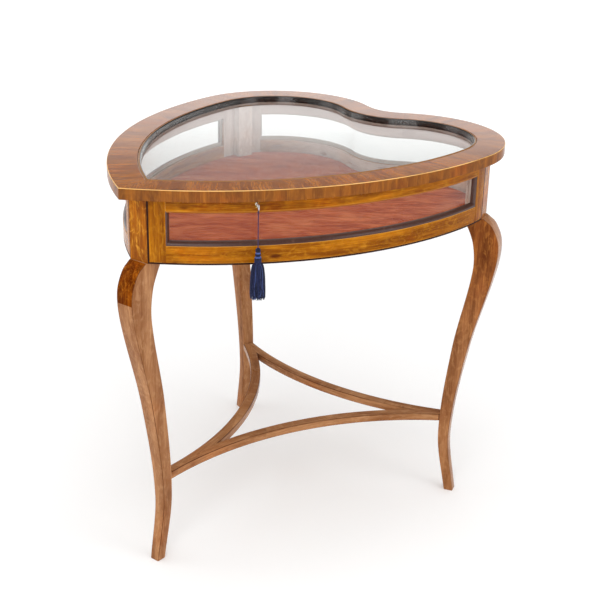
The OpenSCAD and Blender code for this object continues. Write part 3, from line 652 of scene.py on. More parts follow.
def polish_on(g: Graph, at: object, gloss: Pair, scratches: float) -> object:
    """Add the polish group.

    Args:
        g: Graph of the material.
        at: Each point's own place.
        gloss: Lowest and highest roughness.
        scratches: Strength of the fine scratches.

    Returns:
        The group's outputs.
    """
    return g.add("ShaderNodeGroup", {
        "Vector": at, "Low": gloss[0], "High": gloss[1], "Scratches": scratches},
        node_tree=POLISH).outputs


@dataclass(frozen=True)
class WoodFinish:
    """French-polished wood, whose grain follows the piece's own coordinates.

    Attributes:
        tones: Colours of its light streaks, of most of it, and of dark streaks, pores and knots.
        face: The same three colours for faces that bear the attribute "face", or None.
        worn: Colour of its eased arrises, partly rubbed wear and partly a painted highlight along
            them.
        figure: Strength of the light flecks.
        pores: Strength of the pores.
        knots: Strength of the knots.
        patches: Strength of the dark clouds.
        gloss: Lowest and highest roughness of the polish.
        coat: Weight of the polish.
        shine: How much of the usual reflection the wood itself gives.
        coat_ior: Refraction of the polish, which sets how much it reflects.
    """

    name: str
    tones: tuple[str, str, str]
    face: tuple[str, str, str] | None = None
    worn: str = "e2b070"
    figure: float = 0.5
    pores: float = 0.6
    knots: float = 0.0
    patches: float = 0.5
    gloss: Pair = (0.22, 0.42)
    coat: float = 0.5
    shine: float = 0.06
    coat_ior: float = 1.2

    def grown(self, g: Graph, tones: tuple[str, str, str]) -> bpy.types.Node:
        """Add the wood group in one set of colours."""
        light, middle, dark = map(tone, tones)
        return g.add("ShaderNodeGroup", {
            "Vector": g.mark("grain", "Vector"), "Light": light, "Middle": middle, "Dark": dark,
            "Figure": self.figure, "Pores": self.pores, "Knots": self.knots,
            "Patches": self.patches}, node_tree=WOOD)

    def make(self) -> Material:
        """Build the material.

        Returns:
            The material.
        """
        material, g, shader, _ = start_material(self.name)
        wood = self.grown(g, self.tones)
        grown = wood.outputs["Color"]
        gleam: tuple = (self.coat, self.shine)
        # Masked faces take the second palette: painted reflection inside the case, painted shade on
        # the legs, upright crossbanding on the lid's edge.
        if self.face:
            mask = g.mark("face")
            grown = g.mix(mask, grown, self.grown(g, self.face).outputs["Color"])
            duller = g.math("MULTIPLY_ADD", mask, -0.85, 1.0)
            gleam = tuple(g.times(duller, value) for value in gleam)
        at = g.here()
        polish = polish_on(g, at, self.gloss, 0.25)
        wear = g.noise(at, 9.0, 4.0, 0.6)
        colour = g.mix(g.band(wear, 0.5, 0.72, 0.0, 0.35), grown, tone(self.tones[0]), "SOFT_LIGHT")
        # Eased arrises take the arris colour: partly wear, partly a painted highlight.
        edge = g.times(g.mark("worn"), g.band(wear, 0.3, 0.6, 0.35, 0.9))
        colour = g.mix(edge, colour, tone(self.worn))
        relief = g.bump(polish["Height"], 0.3, 0.0003,
                        g.bump(wood.outputs["Height"], 0.25, 0.0002))
        join(g, shader, Base_Color=colour, Roughness=polish["Roughness"], Normal=relief,
             Coat_Weight=gleam[0], Coat_Roughness=0.1, Coat_IOR=self.coat_ior, IOR=1.5,
             Specular_IOR_Level=gleam[1])
        return material


@dataclass(frozen=True)
class EbonisedFinish:
    """Dark-stained hardwood under a glossy polish, rubbed brown in places.

    Attributes:
        base: Colour of the stain.
        rubbed: Colour where it is rubbed.
        gloss: Lowest and highest roughness of the polish.
        coat: Weight of the polish.
        shine: How much of the usual reflection the wood itself gives.
        bare: Colours of faces whose attribute "face" is a half, a plain brown, and a whole, a pale
            grey that paints the reflection seen in the glass.
    """

    name: str
    base: str = "17110e"
    rubbed: str = "43291a"
    gloss: Pair = (0.14, 0.3)
    coat: float = 0.6
    shine: float = 0.5
    bare: tuple[str, str] = ("8c6238", "c4b4aa")

    def make(self) -> Material:
        """Build the material.

        Returns:
            The material.
        """
        material, g, shader, _ = start_material(self.name)
        at = g.here()
        fine = g.noise(g.stretch(at, (300.0, 300.0, 900.0)), 1.0, 4.0, 0.6)
        worn = g.noise(at, 34.0, 6.0, 0.7)
        colour = g.mix(g.band(worn, 0.58, 0.74, 0.0, 0.7), tone(self.base), tone(self.rubbed))
        colour = g.mix(g.band(fine, 0.4, 0.7, 0.0, 0.35), colour, tone(self.rubbed))
        # Where "face" is a half the stain turns brown; where it is a whole, pale grey, a painted
        # reflection.
        mask = g.mark("face")
        colour = g.mix(g.band(mask, 0.0, 0.5), colour, tone(self.bare[0]))
        colour = g.mix(g.band(mask, 0.5, 1.0), colour, tone(self.bare[1]))
        gleam = g.band(mask, 0.0, 0.5, 1.0, 0.3)
        polish = polish_on(g, at, self.gloss, 0.3)
        join(g, shader, Base_Color=colour, Roughness=polish["Roughness"],
             Normal=g.bump(polish["Height"], 0.35, 0.0003), Coat_Roughness=0.08,
             Coat_Weight=g.times(gleam, self.coat), Specular_IOR_Level=g.times(gleam, self.shine))
        return material


@dataclass(frozen=True)
class GlassFinish:
    """Clear glass with a faint tint and smears, which lets light through to what it covers."""

    name: str
    tint: str = "fdfefd"
    ior: float = 1.25

    def make(self) -> Material:
        """Build the material.

        Returns:
            The material.
        """
        material, g, shader, out = start_material(self.name)
        at = g.here()
        smear = g.noise(g.stretch(at, (7.0, 7.0, 18.0)), 1.0, 5.0, 0.6)
        colour = g.mix(g.band(smear, 0.4, 0.7), tone(self.tint), tone("fbfdfc"))
        drawn = g.bump(g.noise(g.stretch(at, (9.0, 9.0, 3.0)), 1.0, 1.0), 0.06, 0.0008)
        join(g, shader, Base_Color=colour, Roughness=g.band(smear, 0.5, 0.8, 0.0, 0.04),
             IOR=self.ior, Metallic=0.0, Transmission_Weight=1.0, Normal=drawn)
        clear = g.add("ShaderNodeBsdfTransparent", {"Color": tone("fafcfb")})
        path = g.add("ShaderNodeLightPath")
        lamp = g.math("MAXIMUM", path.outputs["Is Shadow Ray"], path.outputs["Is Diffuse Ray"])
        pick = g.add("ShaderNodeMixShader", {
            0: lamp, 1: shader.outputs[0], 2: clear.outputs[0]})
        g.wire(pick.outputs[0], out.inputs["Surface"])
        return material


@dataclass(frozen=True)
class VelvetFinish:
    """Short-pile velvet, pressed in streaks where the pile lies over, whose pale and dark streaks
    and patches paint the sheen and shade of that pile.
    """

    name: str
    deep: str = "80280c"
    middle: str = "b24c22"
    pale: str = "e08452"
    sheen: str = "e08a6a"
    lie_turn: float = -0.62

    def make(self) -> Material:
        """Build the material.

        Returns:
            The material.
        """
        material, g, shader, _ = start_material(self.name)
        at = g.here()
        lie = g.add("ShaderNodeMapping", {
            "Vector": at, "Rotation": (0, 0, self.lie_turn)}).outputs[0]
        streak = g.noise(g.stretch(lie, (16.0, 70.0, 16.0)), 1.0, 5.0, 0.62, 0.9)
        patch = g.noise(g.stretch(lie, (11.0, 26.0, 16.0)), 1.0, 5.0, 0.6, 0.6)
        tuft = g.noise(g.stretch(lie, (45.0, 130.0, 45.0)), 1.0, 3.0, 0.7)
        pile = g.noise(at, 900.0, 3.0, 0.7)
        deep, middle, pale = tone(self.deep), tone(self.middle), tone(self.pale)
        colour = g.mix(g.band(streak, 0.3, 0.6, 0.25, 1.0), deep, middle)
        # Pale streaks and patches are painted sheen of the lying pile; dark ones are painted shade.
        for share, other in (
                (g.band(streak, 0.5, 0.72, 0.0, 0.6), pale),
                (g.band(patch, 0.45, 0.72, 0.0, 0.6), pale),
                (g.band(patch, 0.3, 0.5, 0.5, 0.0), deep),
                (g.band(tuft, 0.5, 0.7, 0.0, 0.45), pale),
                (g.band(tuft, 0.32, 0.5, 0.3, 0.0), deep),
                (g.band(pile, 0.3, 0.7, 0.3, 0.0), deep)):
            colour = g.mix(share, colour, other)
        nap = g.bump(pile, 0.7, 0.0005, g.bump(streak, 0.6, 0.004))
        join(g, shader, Base_Color=colour, Roughness=g.band(pile, 0.3, 0.7, 0.82, 1.0),
             Normal=nap, Sheen_Weight=0.3, Sheen_Roughness=0.4, Sheen_Tint=tone(self.sheen),
             Specular_IOR_Level=0.05)
        return material


@dataclass(frozen=True)
class MetalFinish:
    """Metal with rubbed highlights and tarnish in patches."""

    name: str
    bright: str
    dull: str
    gloss: Pair = (0.18, 0.42)
    tarnish: float = 0.5

    def make(self) -> Material:
        """Build the material.

        Returns:
            The material.
        """
        material, g, shader, _ = start_material(self.name)
        at = g.here()
        cloud = g.noise(at, 180.0, 6.0, 0.65)
        brush = g.noise(g.stretch(at, (300.0, 2600.0, 2600.0)), 1.0, 3.0, 0.6)
        stain = g.times(g.band(cloud, 0.4, 0.66), self.tarnish)
        colour = g.mix(stain, tone(self.bright), tone(self.dull))
        colour = g.mix(g.band(brush, 0.35, 0.7, 0.0, 0.25), colour, tone(self.dull))
        relief = g.bump(g.math("ADD", cloud, g.times(brush, 0.4)), 0.3, 0.00008)
        join(g, shader, Base_Color=colour, Metallic=1.0, Normal=relief,
             Roughness=g.band(cloud, 0.35, 0.7, *self.gloss))
        return material


@dataclass(frozen=True)
class ThreadFinish:
    """Dyed rayon thread with a soft shine; the attribute "shade" gives each thread its own tone and
    also carries painted shade in grooves and painted highlights.
    """

    name: str
    deep: str = "080a20"
    middle: str = "151a42"
    pale: str = "5c70b4"
    sheen: str = "6f86c8"

    def make(self) -> Material:
        """Build the material.

        Returns:
            The material.
        """
        material, g, shader, _ = start_material(self.name)
        shade = g.mark("shade")
        fleck = g.noise(g.stretch(g.here(), (1800.0, 1800.0, 500.0)), 1.0, 3.0, 0.6)
        colour = g.mix(g.band(shade, 0.1, 0.75), tone(self.deep), tone(self.middle))
        colour = g.mix(g.band(shade, 0.86, 1.0, 0.0, 0.75), colour, tone(self.pale))
        colour = g.mix(g.band(fleck, 0.5, 0.78, 0.0, 0.3), colour, tone(self.pale))
        join(g, shader, Base_Color=colour, Roughness=g.band(fleck, 0.3, 0.7, 0.35, 0.6),
             Normal=g.bump(fleck, 0.5, 0.0001), Sheen_Weight=0.15,
             Sheen_Tint=tone(self.sheen), Specular_IOR_Level=0.3)
        return material


# Pale grey-pink palette for faces inside the case: a painted reflection that the glass lays over
# them, not the wood's own colour.
INSIDE_VEIL = ("f0e4dc", "dccbc2", "bca89e")


def made(finish: object) -> Material:
    """Give a field whose material is built from a finish together with the others."""
    return field(default_factory=finish.make)


@dataclass
class Finishes:
    """Every finish of the table, made once."""

    # The legs' second palette is painted shade, on the front leg's outer face and on the rear legs'
    # flanks.
    legs: Material = made(WoodFinish(
        "Leg wood", ("d2a072", "bb865a", "8e5a34"), ("d88628", "984c08", "562002"),
        worn="5a3018", figure=0.4, pores=0.5, patches=0.35, gloss=(0.26, 0.46)))
    post: Material = made(WoodFinish(
        "Post wood", ("f6ac34", "c2700a", "763602"), INSIDE_VEIL, worn="d2903a", figure=0.8,
        pores=0.4, patches=0.4, coat=0.4, shine=0.03))
    case: Material = made(WoodFinish(
        "Case wood", ("e6a024", "c4780e", "7c4003"), INSIDE_VEIL, worn="e0a040", figure=0.35,
        pores=0.4, knots=0.9, patches=0.4, gloss=(0.2, 0.4), coat=0.4, shine=0.03))
    # The lid's arris colour is a painted highlight along its top outer edge.
    lid: Material = made(WoodFinish(
        "Lid wood", ("dc9434", "bc6e16", "8a480e"), ("cc8228", "9c5a12", "74400e"),
        worn="ffcc7c", figure=0.25, pores=0.35, patches=0.55, gloss=(0.12, 0.26), coat=1.0,
        shine=0.1, coat_ior=1.85))
    board: Material = made(WoodFinish(
        "Board wood", ("b8966a", "9c7a4f", "6b4f30"), worn="b8966a", figure=0.2, pores=0.8,
        knots=0.3, gloss=(0.6, 0.85), coat=0.0))
    black: Material = made(EbonisedFinish("Ebonised wood"))
    bead: Material = made(EbonisedFinish(
        "Stained bead", "44241a", "6a4a3a", (0.3, 0.5), 0.35, 0.4, ("a05c12", "c4b4aa")))
    line: Material = made(EbonisedFinish(
        "Stained line", "2e160a", "5a3018", (0.45, 0.65), 0.0, 0.1))
    pane: Material = made(GlassFinish("Side glass"))
    top_glass: Material = made(GlassFinish("Lid glass", "fefffe", 1.7))
    velvet: Material = made(VelvetFinish("Velvet"))
    brass: Material = made(MetalFinish("Brass", "d9b25c", "6e4f22"))
    steel: Material = made(MetalFinish("Key steel", "f4f2ee", "6a625a", (0.1, 0.3), 0.3))
    thread: Material = made(ThreadFinish("Tassel thread"))
    cord: Material = made(ThreadFinish("Cord thread", "1d1630", "3a2c50", "6a5f96"))


def lay_grain(obj: Piece, arc: Arc | None, grain: Grain, shift: float,
              banded: np.ndarray | None = None) -> None:
    """Store the wood's own coordinates on a piece.

    Args:
        obj: The piece.
        arc: The arc that it follows, or None for a straight piece.
        grain: Which way the grain runs.
        shift: Offset that gives the piece its own stretch of wood.
        banded: Whether each face has a band of veneer with upright grain, if any face has.
    """
    mesh, co = obj.data, points_of(obj)
    corners = np.zeros(len(mesh.loops), np.int32)
    mesh.loops.foreach_get("vertex_index", corners)
    wood = grain_rows(arc, co, grain, shift)[corners]
    if banded is not None:
        band = grain_rows(arc, co, Grain.UPRIGHT, shift)[corners]
        of_face = np.repeat(banded, [p.loop_total for p in mesh.polygons])
        wood[of_face] = band[of_face]
    store(obj, "grain", wood, "CORNER")


def five_rails(pattern: str) -> list[tuple[str, Arc]]:
    """Pair the five rails round the heart with their arcs.

    Args:
        pattern: Name of their nodes, with {} for the place.

    Returns:
        The names of the nodes and the arcs that they follow.
    """
    arcs = {"right": HEART.side(), "left": HEART.side(True), "back_right": HEART.lobe(),
            "back_left": HEART.lobe(True), "back_middle": HEART.cleft()}
    return [(pattern.format(place), arc) for place, arc in arcs.items()]


@dataclass
class Joinery:
    """Everything wooden that keeps the shape of its CAD node: case, lid, stretchers and board.

    Attributes:
        lid_shift: Stretch of wood that all rails of the lid are cut from.
        groove_d: Depth, in from the lid's edge, of the plane behind the glass.
        rim_d: Depth down to which arrises of the case are rubbed and carry a painted highlight.
        case_top: Height above which a face of the case looks up at the lid.
        fade_x: Places across the table between which the painted pale reflection on the bottom
            rail's inside fades out.
        lid_low: Height above which the lid's edge is banded.
        lid_rim: Depth and height that bound the painted highlight along the lid's top outer arris.
        stretcher_ends: Where the stretchers meet at the front leg and at the right leg.
        bows: How far the side stretchers and the back one bow in.
    """

    finishes: Finishes
    arris: float = 0.0007
    lid_arris: float = 0.0011
    stretcher_arris: float = 0.0013
    lid_shift: float = 2.9
    groove_d: float = 0.035
    rim_d: float = 0.03
    case_top: float = 0.725
    fade_x: Pair = (0.17, 0.27)
    lid_low: float = 0.7
    lid_rim: Pair = (0.003, 0.745)
    stretcher_ends: tuple = ((0.0, -0.31541), (0.27429, 0.24211))
    bows: Pair = (0.081, 0.059)

    def wooden(self, node: str, arc: Arc | None, grain: Grain, slot: str, material: Material,
               arris: float) -> None:
        """Build one wooden piece and hand it over.

        Args:
            node: The CAD node that it copies.
            arc: The arc that it follows, or None for a straight piece.
            grain: Which way the grain runs.
            slot: Material slot of the record.
            material: Its finish.
            arris: Width of its eased arrises, or 0 for none.
        """
        obj = copy_of_node(node, arris)
        lay_grain(obj, arc, grain, self.own_shift(node))
        if slot == "case_wood":
            self.mark_inside(obj, arc, "bottom_rail" in node)
        stand_in(obj, node, material)

    @staticmethod
    def own_shift(node: str) -> float:
        """Pick one of 97 stretches of wood, 0.113 m apart, from the letters of a name."""
        return (sum(ord(c) * (i + 1) for i, c in enumerate(node)) % 97) * 0.113

    def mark_inside(self, obj: Piece, arc: Arc, fading: bool) -> None:
        """Mark the faces of a case piece inside the glass, which take a painted pale reflection,
        and its rubbed arrises, which carry a painted highlight.

        Args:
            obj: The piece.
            arc: The arc that it follows.
            fading: Whether the painted pale reflection on its inside fades out towards the sides.
        """
        middles = face_middles(obj)
        depth = arc.measure(middles)[:, 1]
        ahead = arc.measure(face_middles(obj, MM))[:, 1]
        inward = ahead > depth - 0.8 * MM
        inside = (depth > self.groove_d + 0.2 * MM) & inward & (middles[:, 2] <= self.case_top)
        # Faces inside the glass take the pale palette, a painted reflection; on the bottom rail it
        # fades out towards the sides.
        paleness = inside.astype(float)
        if fading:
            near, far = self.fade_x
            reach = (np.abs(middles[:, 0]) - near) / (far - near)
            paleness *= 1 - 0.8 * np.clip(reach, 0, 1)
        store(obj, "face", paleness, "FACE")
        # Keep the arris colour, wear and painted highlight, only on the outer rim.
        worn = np.zeros(len(depth), np.float32)
        obj.data.attributes["worn"].data.foreach_get("value", worn)
        store(obj, "worn", worn * (depth < self.rim_d), "FACE")

    def build_case(self) -> None:
        """Rails and stiles of the three glazed sides, and the board below."""
        wood = self.finishes.case
        for row in ("top_rail", "bottom_rail"):
            for node, arc in five_rails("{}_" + row):
                self.wooden(node, arc, Grain.ALONG, "case_wood", wood, self.arris)
        for side, mirrored in (("right", False), ("left", True)):
            for node, arc in ((f"{side}_front_stile", HEART.side(mirrored)),
                              (f"{side}_rear_stile", HEART.lobe(mirrored)),
                              (f"back_{side}_stile", HEART.lobe(mirrored))):
                self.wooden(node, arc, Grain.UPRIGHT, "case_wood", wood, self.arris)
        self.wooden("baseboard", None, Grain.ALONG, "board_wood", self.finishes.board, 0.0)

    def build_lid(self) -> None:
        """The five curved rails of the lid, crossbanded on top and round the edge."""
        depth, height = self.lid_rim
        for node, arc in five_rails("lid_{}_rail"):
            obj = copy_of_node(node, self.lid_arris, along=arc)
            middles = face_middles(obj)
            tilt = np.array([abs(p.normal.z) for p in obj.data.polygons])
            edge = (tilt < 0.8) & (middles[:, 2] > self.lid_low)
            lay_grain(obj, arc, Grain.ACROSS, self.lid_shift, edge)
            store(obj, "face", edge, "FACE")
            # Painted highlight: only the top outer arris of the lid takes the arris colour.
            rim = (arc.measure(middles)[:, 1] < depth) & (middles[:, 2] > height)
            store(obj, "worn", rim & (tilt > 0.15) & (tilt < 0.96), "FACE")
            stand_in(obj, node, self.finishes.lid)

    def build_stretchers(self) -> None:
        """The three bowed stretchers, from the arcs between the legs."""
        front, right = self.stretcher_ends
        left = (-right[0], right[1])
        side_bow, back_bow = self.bows
        side_arc = self.bow_arc(front, right, side_bow)
        for node, arc in (("right_stretcher", side_arc),
                          ("left_stretcher", replace(side_arc, mirrored=True)),
                          ("back_stretcher", self.bow_arc(right, left, back_bow))):
            self.wooden(node, arc, Grain.ALONG, "leg_wood", self.finishes.legs,
                        self.stretcher_arris)

    @staticmethod
    def bow_arc(p: Pair, q: Pair, bow: float) -> Arc:
        """Give the arc of a stretcher from its ends and its bow.

        Args:
            p: Its one end.
            q: Its other end.
            bow: How far its middle lies in from their chord.

        Returns:
            The arc.
        """
        chord = math.dist(p, q)
        r = (chord * chord / 4 + bow * bow) / (2 * bow)
        way = math.atan2(q[1] - p[1], q[0] - p[0]) - math.pi / 2
        middle = ((p[0] + q[0]) / 2, (p[1] + q[1]) / 2)
        centre = (middle[0] + (r - bow) * math.cos(way), middle[1] + (r - bow) * math.sin(way))
        return Arc(centre, r)


@dataclass
class DarkWork:
    """Glazing beads, inlaid lines and the two beads of the lid.

    Attributes:
        groove_d: Depth, in from the lid's edge, of the glass's groove in the case.
        upper_z: Height above which a glazing bead of the case is brown.
        bead_d: Depths of the lid beads' two edges.
        seat_z: Heights of the lower lid bead: its foot; where its back turns from pale grey, a
            painted reflection, to black; its top.
        top_z: Heights of the upper lid bead: its foot and the middle of its round.
        ring_steps: Steps of the side, the lobe and the hollow in the lid's beads.
    """

    finishes: Finishes
    groove_d: float = 0.035
    upper_z: float = 0.7005
    bead_d: Pair = (0.054, 0.06)
    seat_z: tuple[float, float, float] = (0.7295, 0.7338, 0.736)
    top_z: Pair = (0.7401, 0.747)
    ring_steps: tuple[int, int, int] = (72, 60, 24)

    def build_case_trim(self) -> None:
        """The glazing beads and the inlaid lines of the case."""
        for node in ("right_bead", "left_bead", "back_bead"):
            obj = copy_of_node(node, 0.0, 35.0)
            self.mark_bead(obj)
            stand_in(obj, node, self.finishes.bead)
        for node in ("corner_lines", "base_lines"):
            stand_in(copy_of_node(node, 0.0, 35.0), node, self.finishes.line)

    def mark_bead(self, obj: Piece) -> None:
        """Mark the upper faces of a bead by a half, for plain brown, and those on the groove's
        plane by a whole, for a pale grey that paints the reflection in the glass.

        Args:
            obj: The bead.
        """
        co, faces = points_of(obj), obj.data.polygons
        mask = [0.5 * float(p.center.z > self.upper_z) for p in faces]
        for _, arc in five_rails("{}"):
            flat = np.abs(arc.measure(co)[:, 1] - self.groove_d) < 0.2 * MM
            mask = [1.0 if flat[list(p.vertices)].all() else value
                    for p, value in zip(faces, mask)]
        store(obj, "face", mask, "FACE")

    def build_lid_beads(self) -> None:
        """The seat under the lid's glass and the half-round bead that holds the glass down."""
        outer, inner = self.bead_d
        low, mid = self.top_z
        centre, r = (outer + inner) / 2, (inner - outer) / 2
        bends = [math.pi * i / 18 for i in range(19)]
        top = [(outer, low, 0.0), (inner, low, 0.0)]
        top += [(centre + r * math.cos(a), mid + r * math.sin(a), 0.5 if i > 6 else 0.0)
                for i, a in enumerate(bends)]
        self.sweep_bead("lid_top_bead", top)
        # The lowest strip of the seat bead's back is pale grey: a painted reflection, like the
        # insides of the rails.
        foot, turn, brow = self.seat_z
        self.sweep_bead("lid_seat_bead", [
            (outer, foot, 1.0), (inner, foot, 1.0), (inner, turn, 0.0), (inner, brow, 0.0),
            (outer, brow, 0.0)])

    def sweep_bead(self, node: str, profile: list[tuple[float, float, float]]) -> None:
        """Sweep a black bead along the heart's ring.

        Args:
            node: The CAD node that it stands for.
            profile: Depth, height and mask, the mask being for the face that starts there.
        """
        rings = np.stack([HEART.ring(d, self.ring_steps) for d, _, _ in profile], axis=1)
        count, cols = rings.shape[:2]
        heights = np.tile(np.array([z for _, z, _ in profile]), (count, 1))[..., None]
        verts = np.concatenate([rings, heights], axis=2).reshape(-1, 3)
        obj = mesh_piece(node + "_finished", verts, grid_faces(count, cols, True), 50)
        columns = [sorted({v % cols for v in p.vertices}) for p in obj.data.polygons]
        starts = [pair[0] if pair[-1] == pair[0] + 1 else pair[-1] for pair in columns]
        store(obj, "face", [profile[start][2] for start in starts], "FACE")
        stand_in(obj, node, self.finishes.black)


class Dress(Enum):
    """Which faces of a leg or a post bear its second palette: painted shade on a leg, a painted
    reflection on a post.
    """

    # Painted shade on the front leg's outer face above the knee.
    FRONT = "the outer face above the knee"
    # Painted shadow on the rear legs' flanks, stronger higher up.
    REAR = "the flanks, darker towards the knee"
    # Painted reflection of the glass on the post's faces inside the case.
    POST = "the faces inside the case"


@dataclass(frozen=True)
class Stand:
    """Where one leg stands.

    Attributes:
        node: The CAD node of the leg.
        origin: Middle of the post's face, in metres.
        turn: Direction that the post faces, in radians from +X.
        kappa: Turn of the post's flanks towards the rails, in radians.
        shift: Offset of its stretch of wood.
        dress: Which faces of the leg bear its darker palette, painted shade.
        mirrored: Whether the leg is the mirror image.
    """

    node: str
    origin: Pair
    turn: float
    kappa: float
    shift: float
    dress: Dress = Dress.REAR
    mirrored: bool = False


@dataclass
class Leg:
    """A cabriole leg with the post above it, lofted through its stations, in millimetres.

    Attributes:
        outside: Stations of height and place of the outer line, out from the post's face.
        inside: The same for the inner line.
        seat: Heights between which the stretchers' flat seat lies.
        toe_z: Height of the small chamfer under the foot.
        toe_share: Size of the foot's sole, as a share of the section above the chamfer.
        rail_t: Thickness of the rails that meet the post.
        behind_u: Place behind which the post's faces are inside the case.
        veneer_z: Height above which the front leg's outer face takes the darker palette, painted
            shade.
        face_d: Depth of the case's face in from the lid's edge.
        rear_turn: Direction that a rear post faces, in degrees from +X.
    """

    case_z: float = 611.0
    case_top: float = 728.7
    outside: tuple = ((0, -16), (130, -33.5), (330, -8), (500, 32), (560, 36.5), (597, 21.17),
                      (611, 3))
    inside: tuple = ((0, -35), (130, -55.5), (330, -39.5), (500, -10), (560, -14), (611, -36))
    width: tuple = ((0, 20), (130, 24), (330, 30), (560, 38), (611, 39.5))
    seat: tuple = (162.0, 177.0)
    corner_r: float = 1.6
    toe_z: float = 0.6
    toe_share: float = 0.97
    post_w: float = 41.0
    post_depth: float = 36.0
    post_inner_w: float = 33.0
    rail_t: float = 18.0
    behind_u: float = -18.5
    veneer_z: float = 543.0
    face_d: float = 25.0
    rear_turn: float = 18.0

    @staticmethod
    def curve(stations: tuple, z: float) -> float:
        """Smooth curve through stations of height and value.

        Args:
            stations: Pairs of height and value, from the floor up.
            z: Height.

        Returns:
            The value at that height.
        """
        n = len(stations) - 1
        i = max(k for k in range(n) if k == 0 or stations[k][0] < z)

        def slope(k: int) -> float:
            """Slope at a station: the line between its neighbours."""
            a, b = stations[max(k - 1, 0)], stations[min(k + 1, n)]
            return (b[1] - a[1]) / (b[0] - a[0])

        (z0, v0), (z1, v1) = stations[i], stations[i + 1]
        h, t = z1 - z0, (z - z0) / (z1 - z0)
        return ((2 * t**3 - 3 * t * t + 1) * v0 + (t**3 - 2 * t * t + t) * h * slope(i)
                + (3 * t * t - 2 * t**3) * v1 + (t**3 - t * t) * h * slope(i + 1))

    def section(self, z: float, seat_u: float) -> list[Pair]:
        """Rounded rectangle of the leg at a height, with the seat cut where it lies.

        Args:
            z: Height.
            seat_u: Place of the seat's flat, out from the post's face.

        Returns:
            Its points: out from the post's face, and along the face.
        """
        out, inn = self.curve(self.outside, z), self.curve(self.inside, z)
        if self.seat[0] <= z <= self.seat[1]:
            inn = max(inn, seat_u)
        half, r = self.curve(self.width, z) / 2, self.corner_r
        points = []
        for u, v, a0 in ((out - r, half - r, 0), (inn + r, half - r, 90),
                         (inn + r, -half + r, 180), (out - r, -half + r, 270)):
            for k in range(5):
                a = math.radians(a0 + 22.5 * k)
                points.append((u + r * math.cos(a), v + r * math.sin(a)))
        return points

    def place(self, rows: list, faces: list, name: str, stand: Stand, shift: float,
              dress: Dress) -> Piece:
        """Set a piece, drawn in millimetres of the post's frame, where it stands.

        Args:
            rows: Its points: out from the post's face, along the face, and up.
            faces: Its faces.
            name: Name of the piece.
            stand: Where the leg stands.
            shift: Offset of its stretch of wood.
            dress: Which of its faces bear the second palette: painted shade on a leg, a painted
                reflection on a post.

        Returns:
            The piece, with its grain and the masks of its face and its arrises.
        """
        local = np.array(rows) * MM
        (x0, y0), cs, sn = stand.origin, math.cos(stand.turn), math.sin(stand.turn)
        verts = np.stack([x0 + local[:, 0] * cs - local[:, 1] * sn,
                          y0 + local[:, 0] * sn + local[:, 1] * cs, local[:, 2]], axis=1)
        sign = -1 if stand.mirrored else 1
        verts[:, 0] *= sign
        obj = mesh_piece(name, verts, faces, 38.0)
        co = points_of(obj)
        dx, dy = co[:, 0] * sign - x0, co[:, 1] - y0
        grain = np.stack([co[:, 2] + shift, dx * sn - dy * cs + shift, dx * cs + dy * sn], axis=1)
        store(obj, "grain", grain, "POINT")
        normals = [p.normal for p in obj.data.polygons]
        leans = np.array([(n.x * sign * cs + n.y * sn) / max(math.hypot(n.x, n.y), 1e-6)
                          for n in normals])
        x, y, z = face_middles(obj).T
        # Second palette: painted reflection on the post's inner faces, painted shadow on the rear
        # flanks, painted shade on the front leg's outer face.
        if dress is Dress.POST:
            mask = (x * sign - x0) * cs + (y - y0) * sn < self.behind_u * MM
        elif dress is Dress.REAR:
            mask = (abs(leans) < 0.3) * np.clip((z - 0.2) / 0.42, 0.22, 0.8)
        else:
            mask = (leans > 0.93) & (z > self.veneer_z * MM)
        store(obj, "face", mask, "FACE")
        # Corner faces take the arris colour: wear and a painted highlight on the post, a dark line
        # on the legs.
        store(obj, "worn", (leans > 0.2) & (leans <= 0.93), "FACE")
        return obj

    def stands(self) -> list[Stand]:
        """Work out from the heart's outline where the three legs stand.

        Returns:
            The three places.
        """
        half, face_d = self.post_w / 2 * MM, self.face_d * MM
        side_r, lobe_r = HEART.side_r - face_d, HEART.lobe_r - face_d
        tip = -math.acos((half - HEART.side_x) / side_r)
        front = (0.0, HEART.join_y + side_r * math.sin(tip))
        kappa, way = math.asin(half / lobe_r), math.radians(self.rear_turn)
        reach = lobe_r * math.cos(kappa)
        rear = (HEART.lobe_x + reach * math.cos(way), HEART.join_y + reach * math.sin(way))
        return [Stand("front_leg", front, -math.pi / 2, math.pi / 2 + tip, 0.0, Dress.FRONT),
                Stand("right_leg", rear, way, kappa, 1.3),
                Stand("left_leg", rear, way, kappa, 2.9, mirrored=True)]

    def build(self, stand: Stand, finishes: Finishes) -> None:
        """Loft the leg, add its veneered post and hand both over.

        Args:
            stand: Where the leg stands.
            finishes: Finishes of leg and post.
        """
        low, high = self.seat
        seat_u = self.curve(self.inside, (low + high) / 2)
        even = np.linspace(0, self.case_z, 124).tolist()
        heights = sorted({*even, low - 0.1, low, high, high + 0.1})
        loops = [[(u, v, z) for u, v in self.section(z, seat_u)] for z in heights]
        foot_u, share = (self.outside[0][1] + self.inside[0][1]) / 2, self.toe_share
        toe = [(u * share + (1 - share) * foot_u, v * share, 0.0) for u, v, _ in loops[0]]
        loops[0] = [(u, v, self.toe_z) for u, v, _ in loops[0]]
        loops.insert(0, toe)
        rows = [p for loop in loops for p in loop]
        faces = grid_faces(len(loops), len(loops[0]), False, True)
        obj = self.place(rows, faces, stand.node + "_finished", stand, stand.shift, stand.dress)
        stand_in(obj, stand.node, finishes.legs)
        self.build_post(stand, finishes)

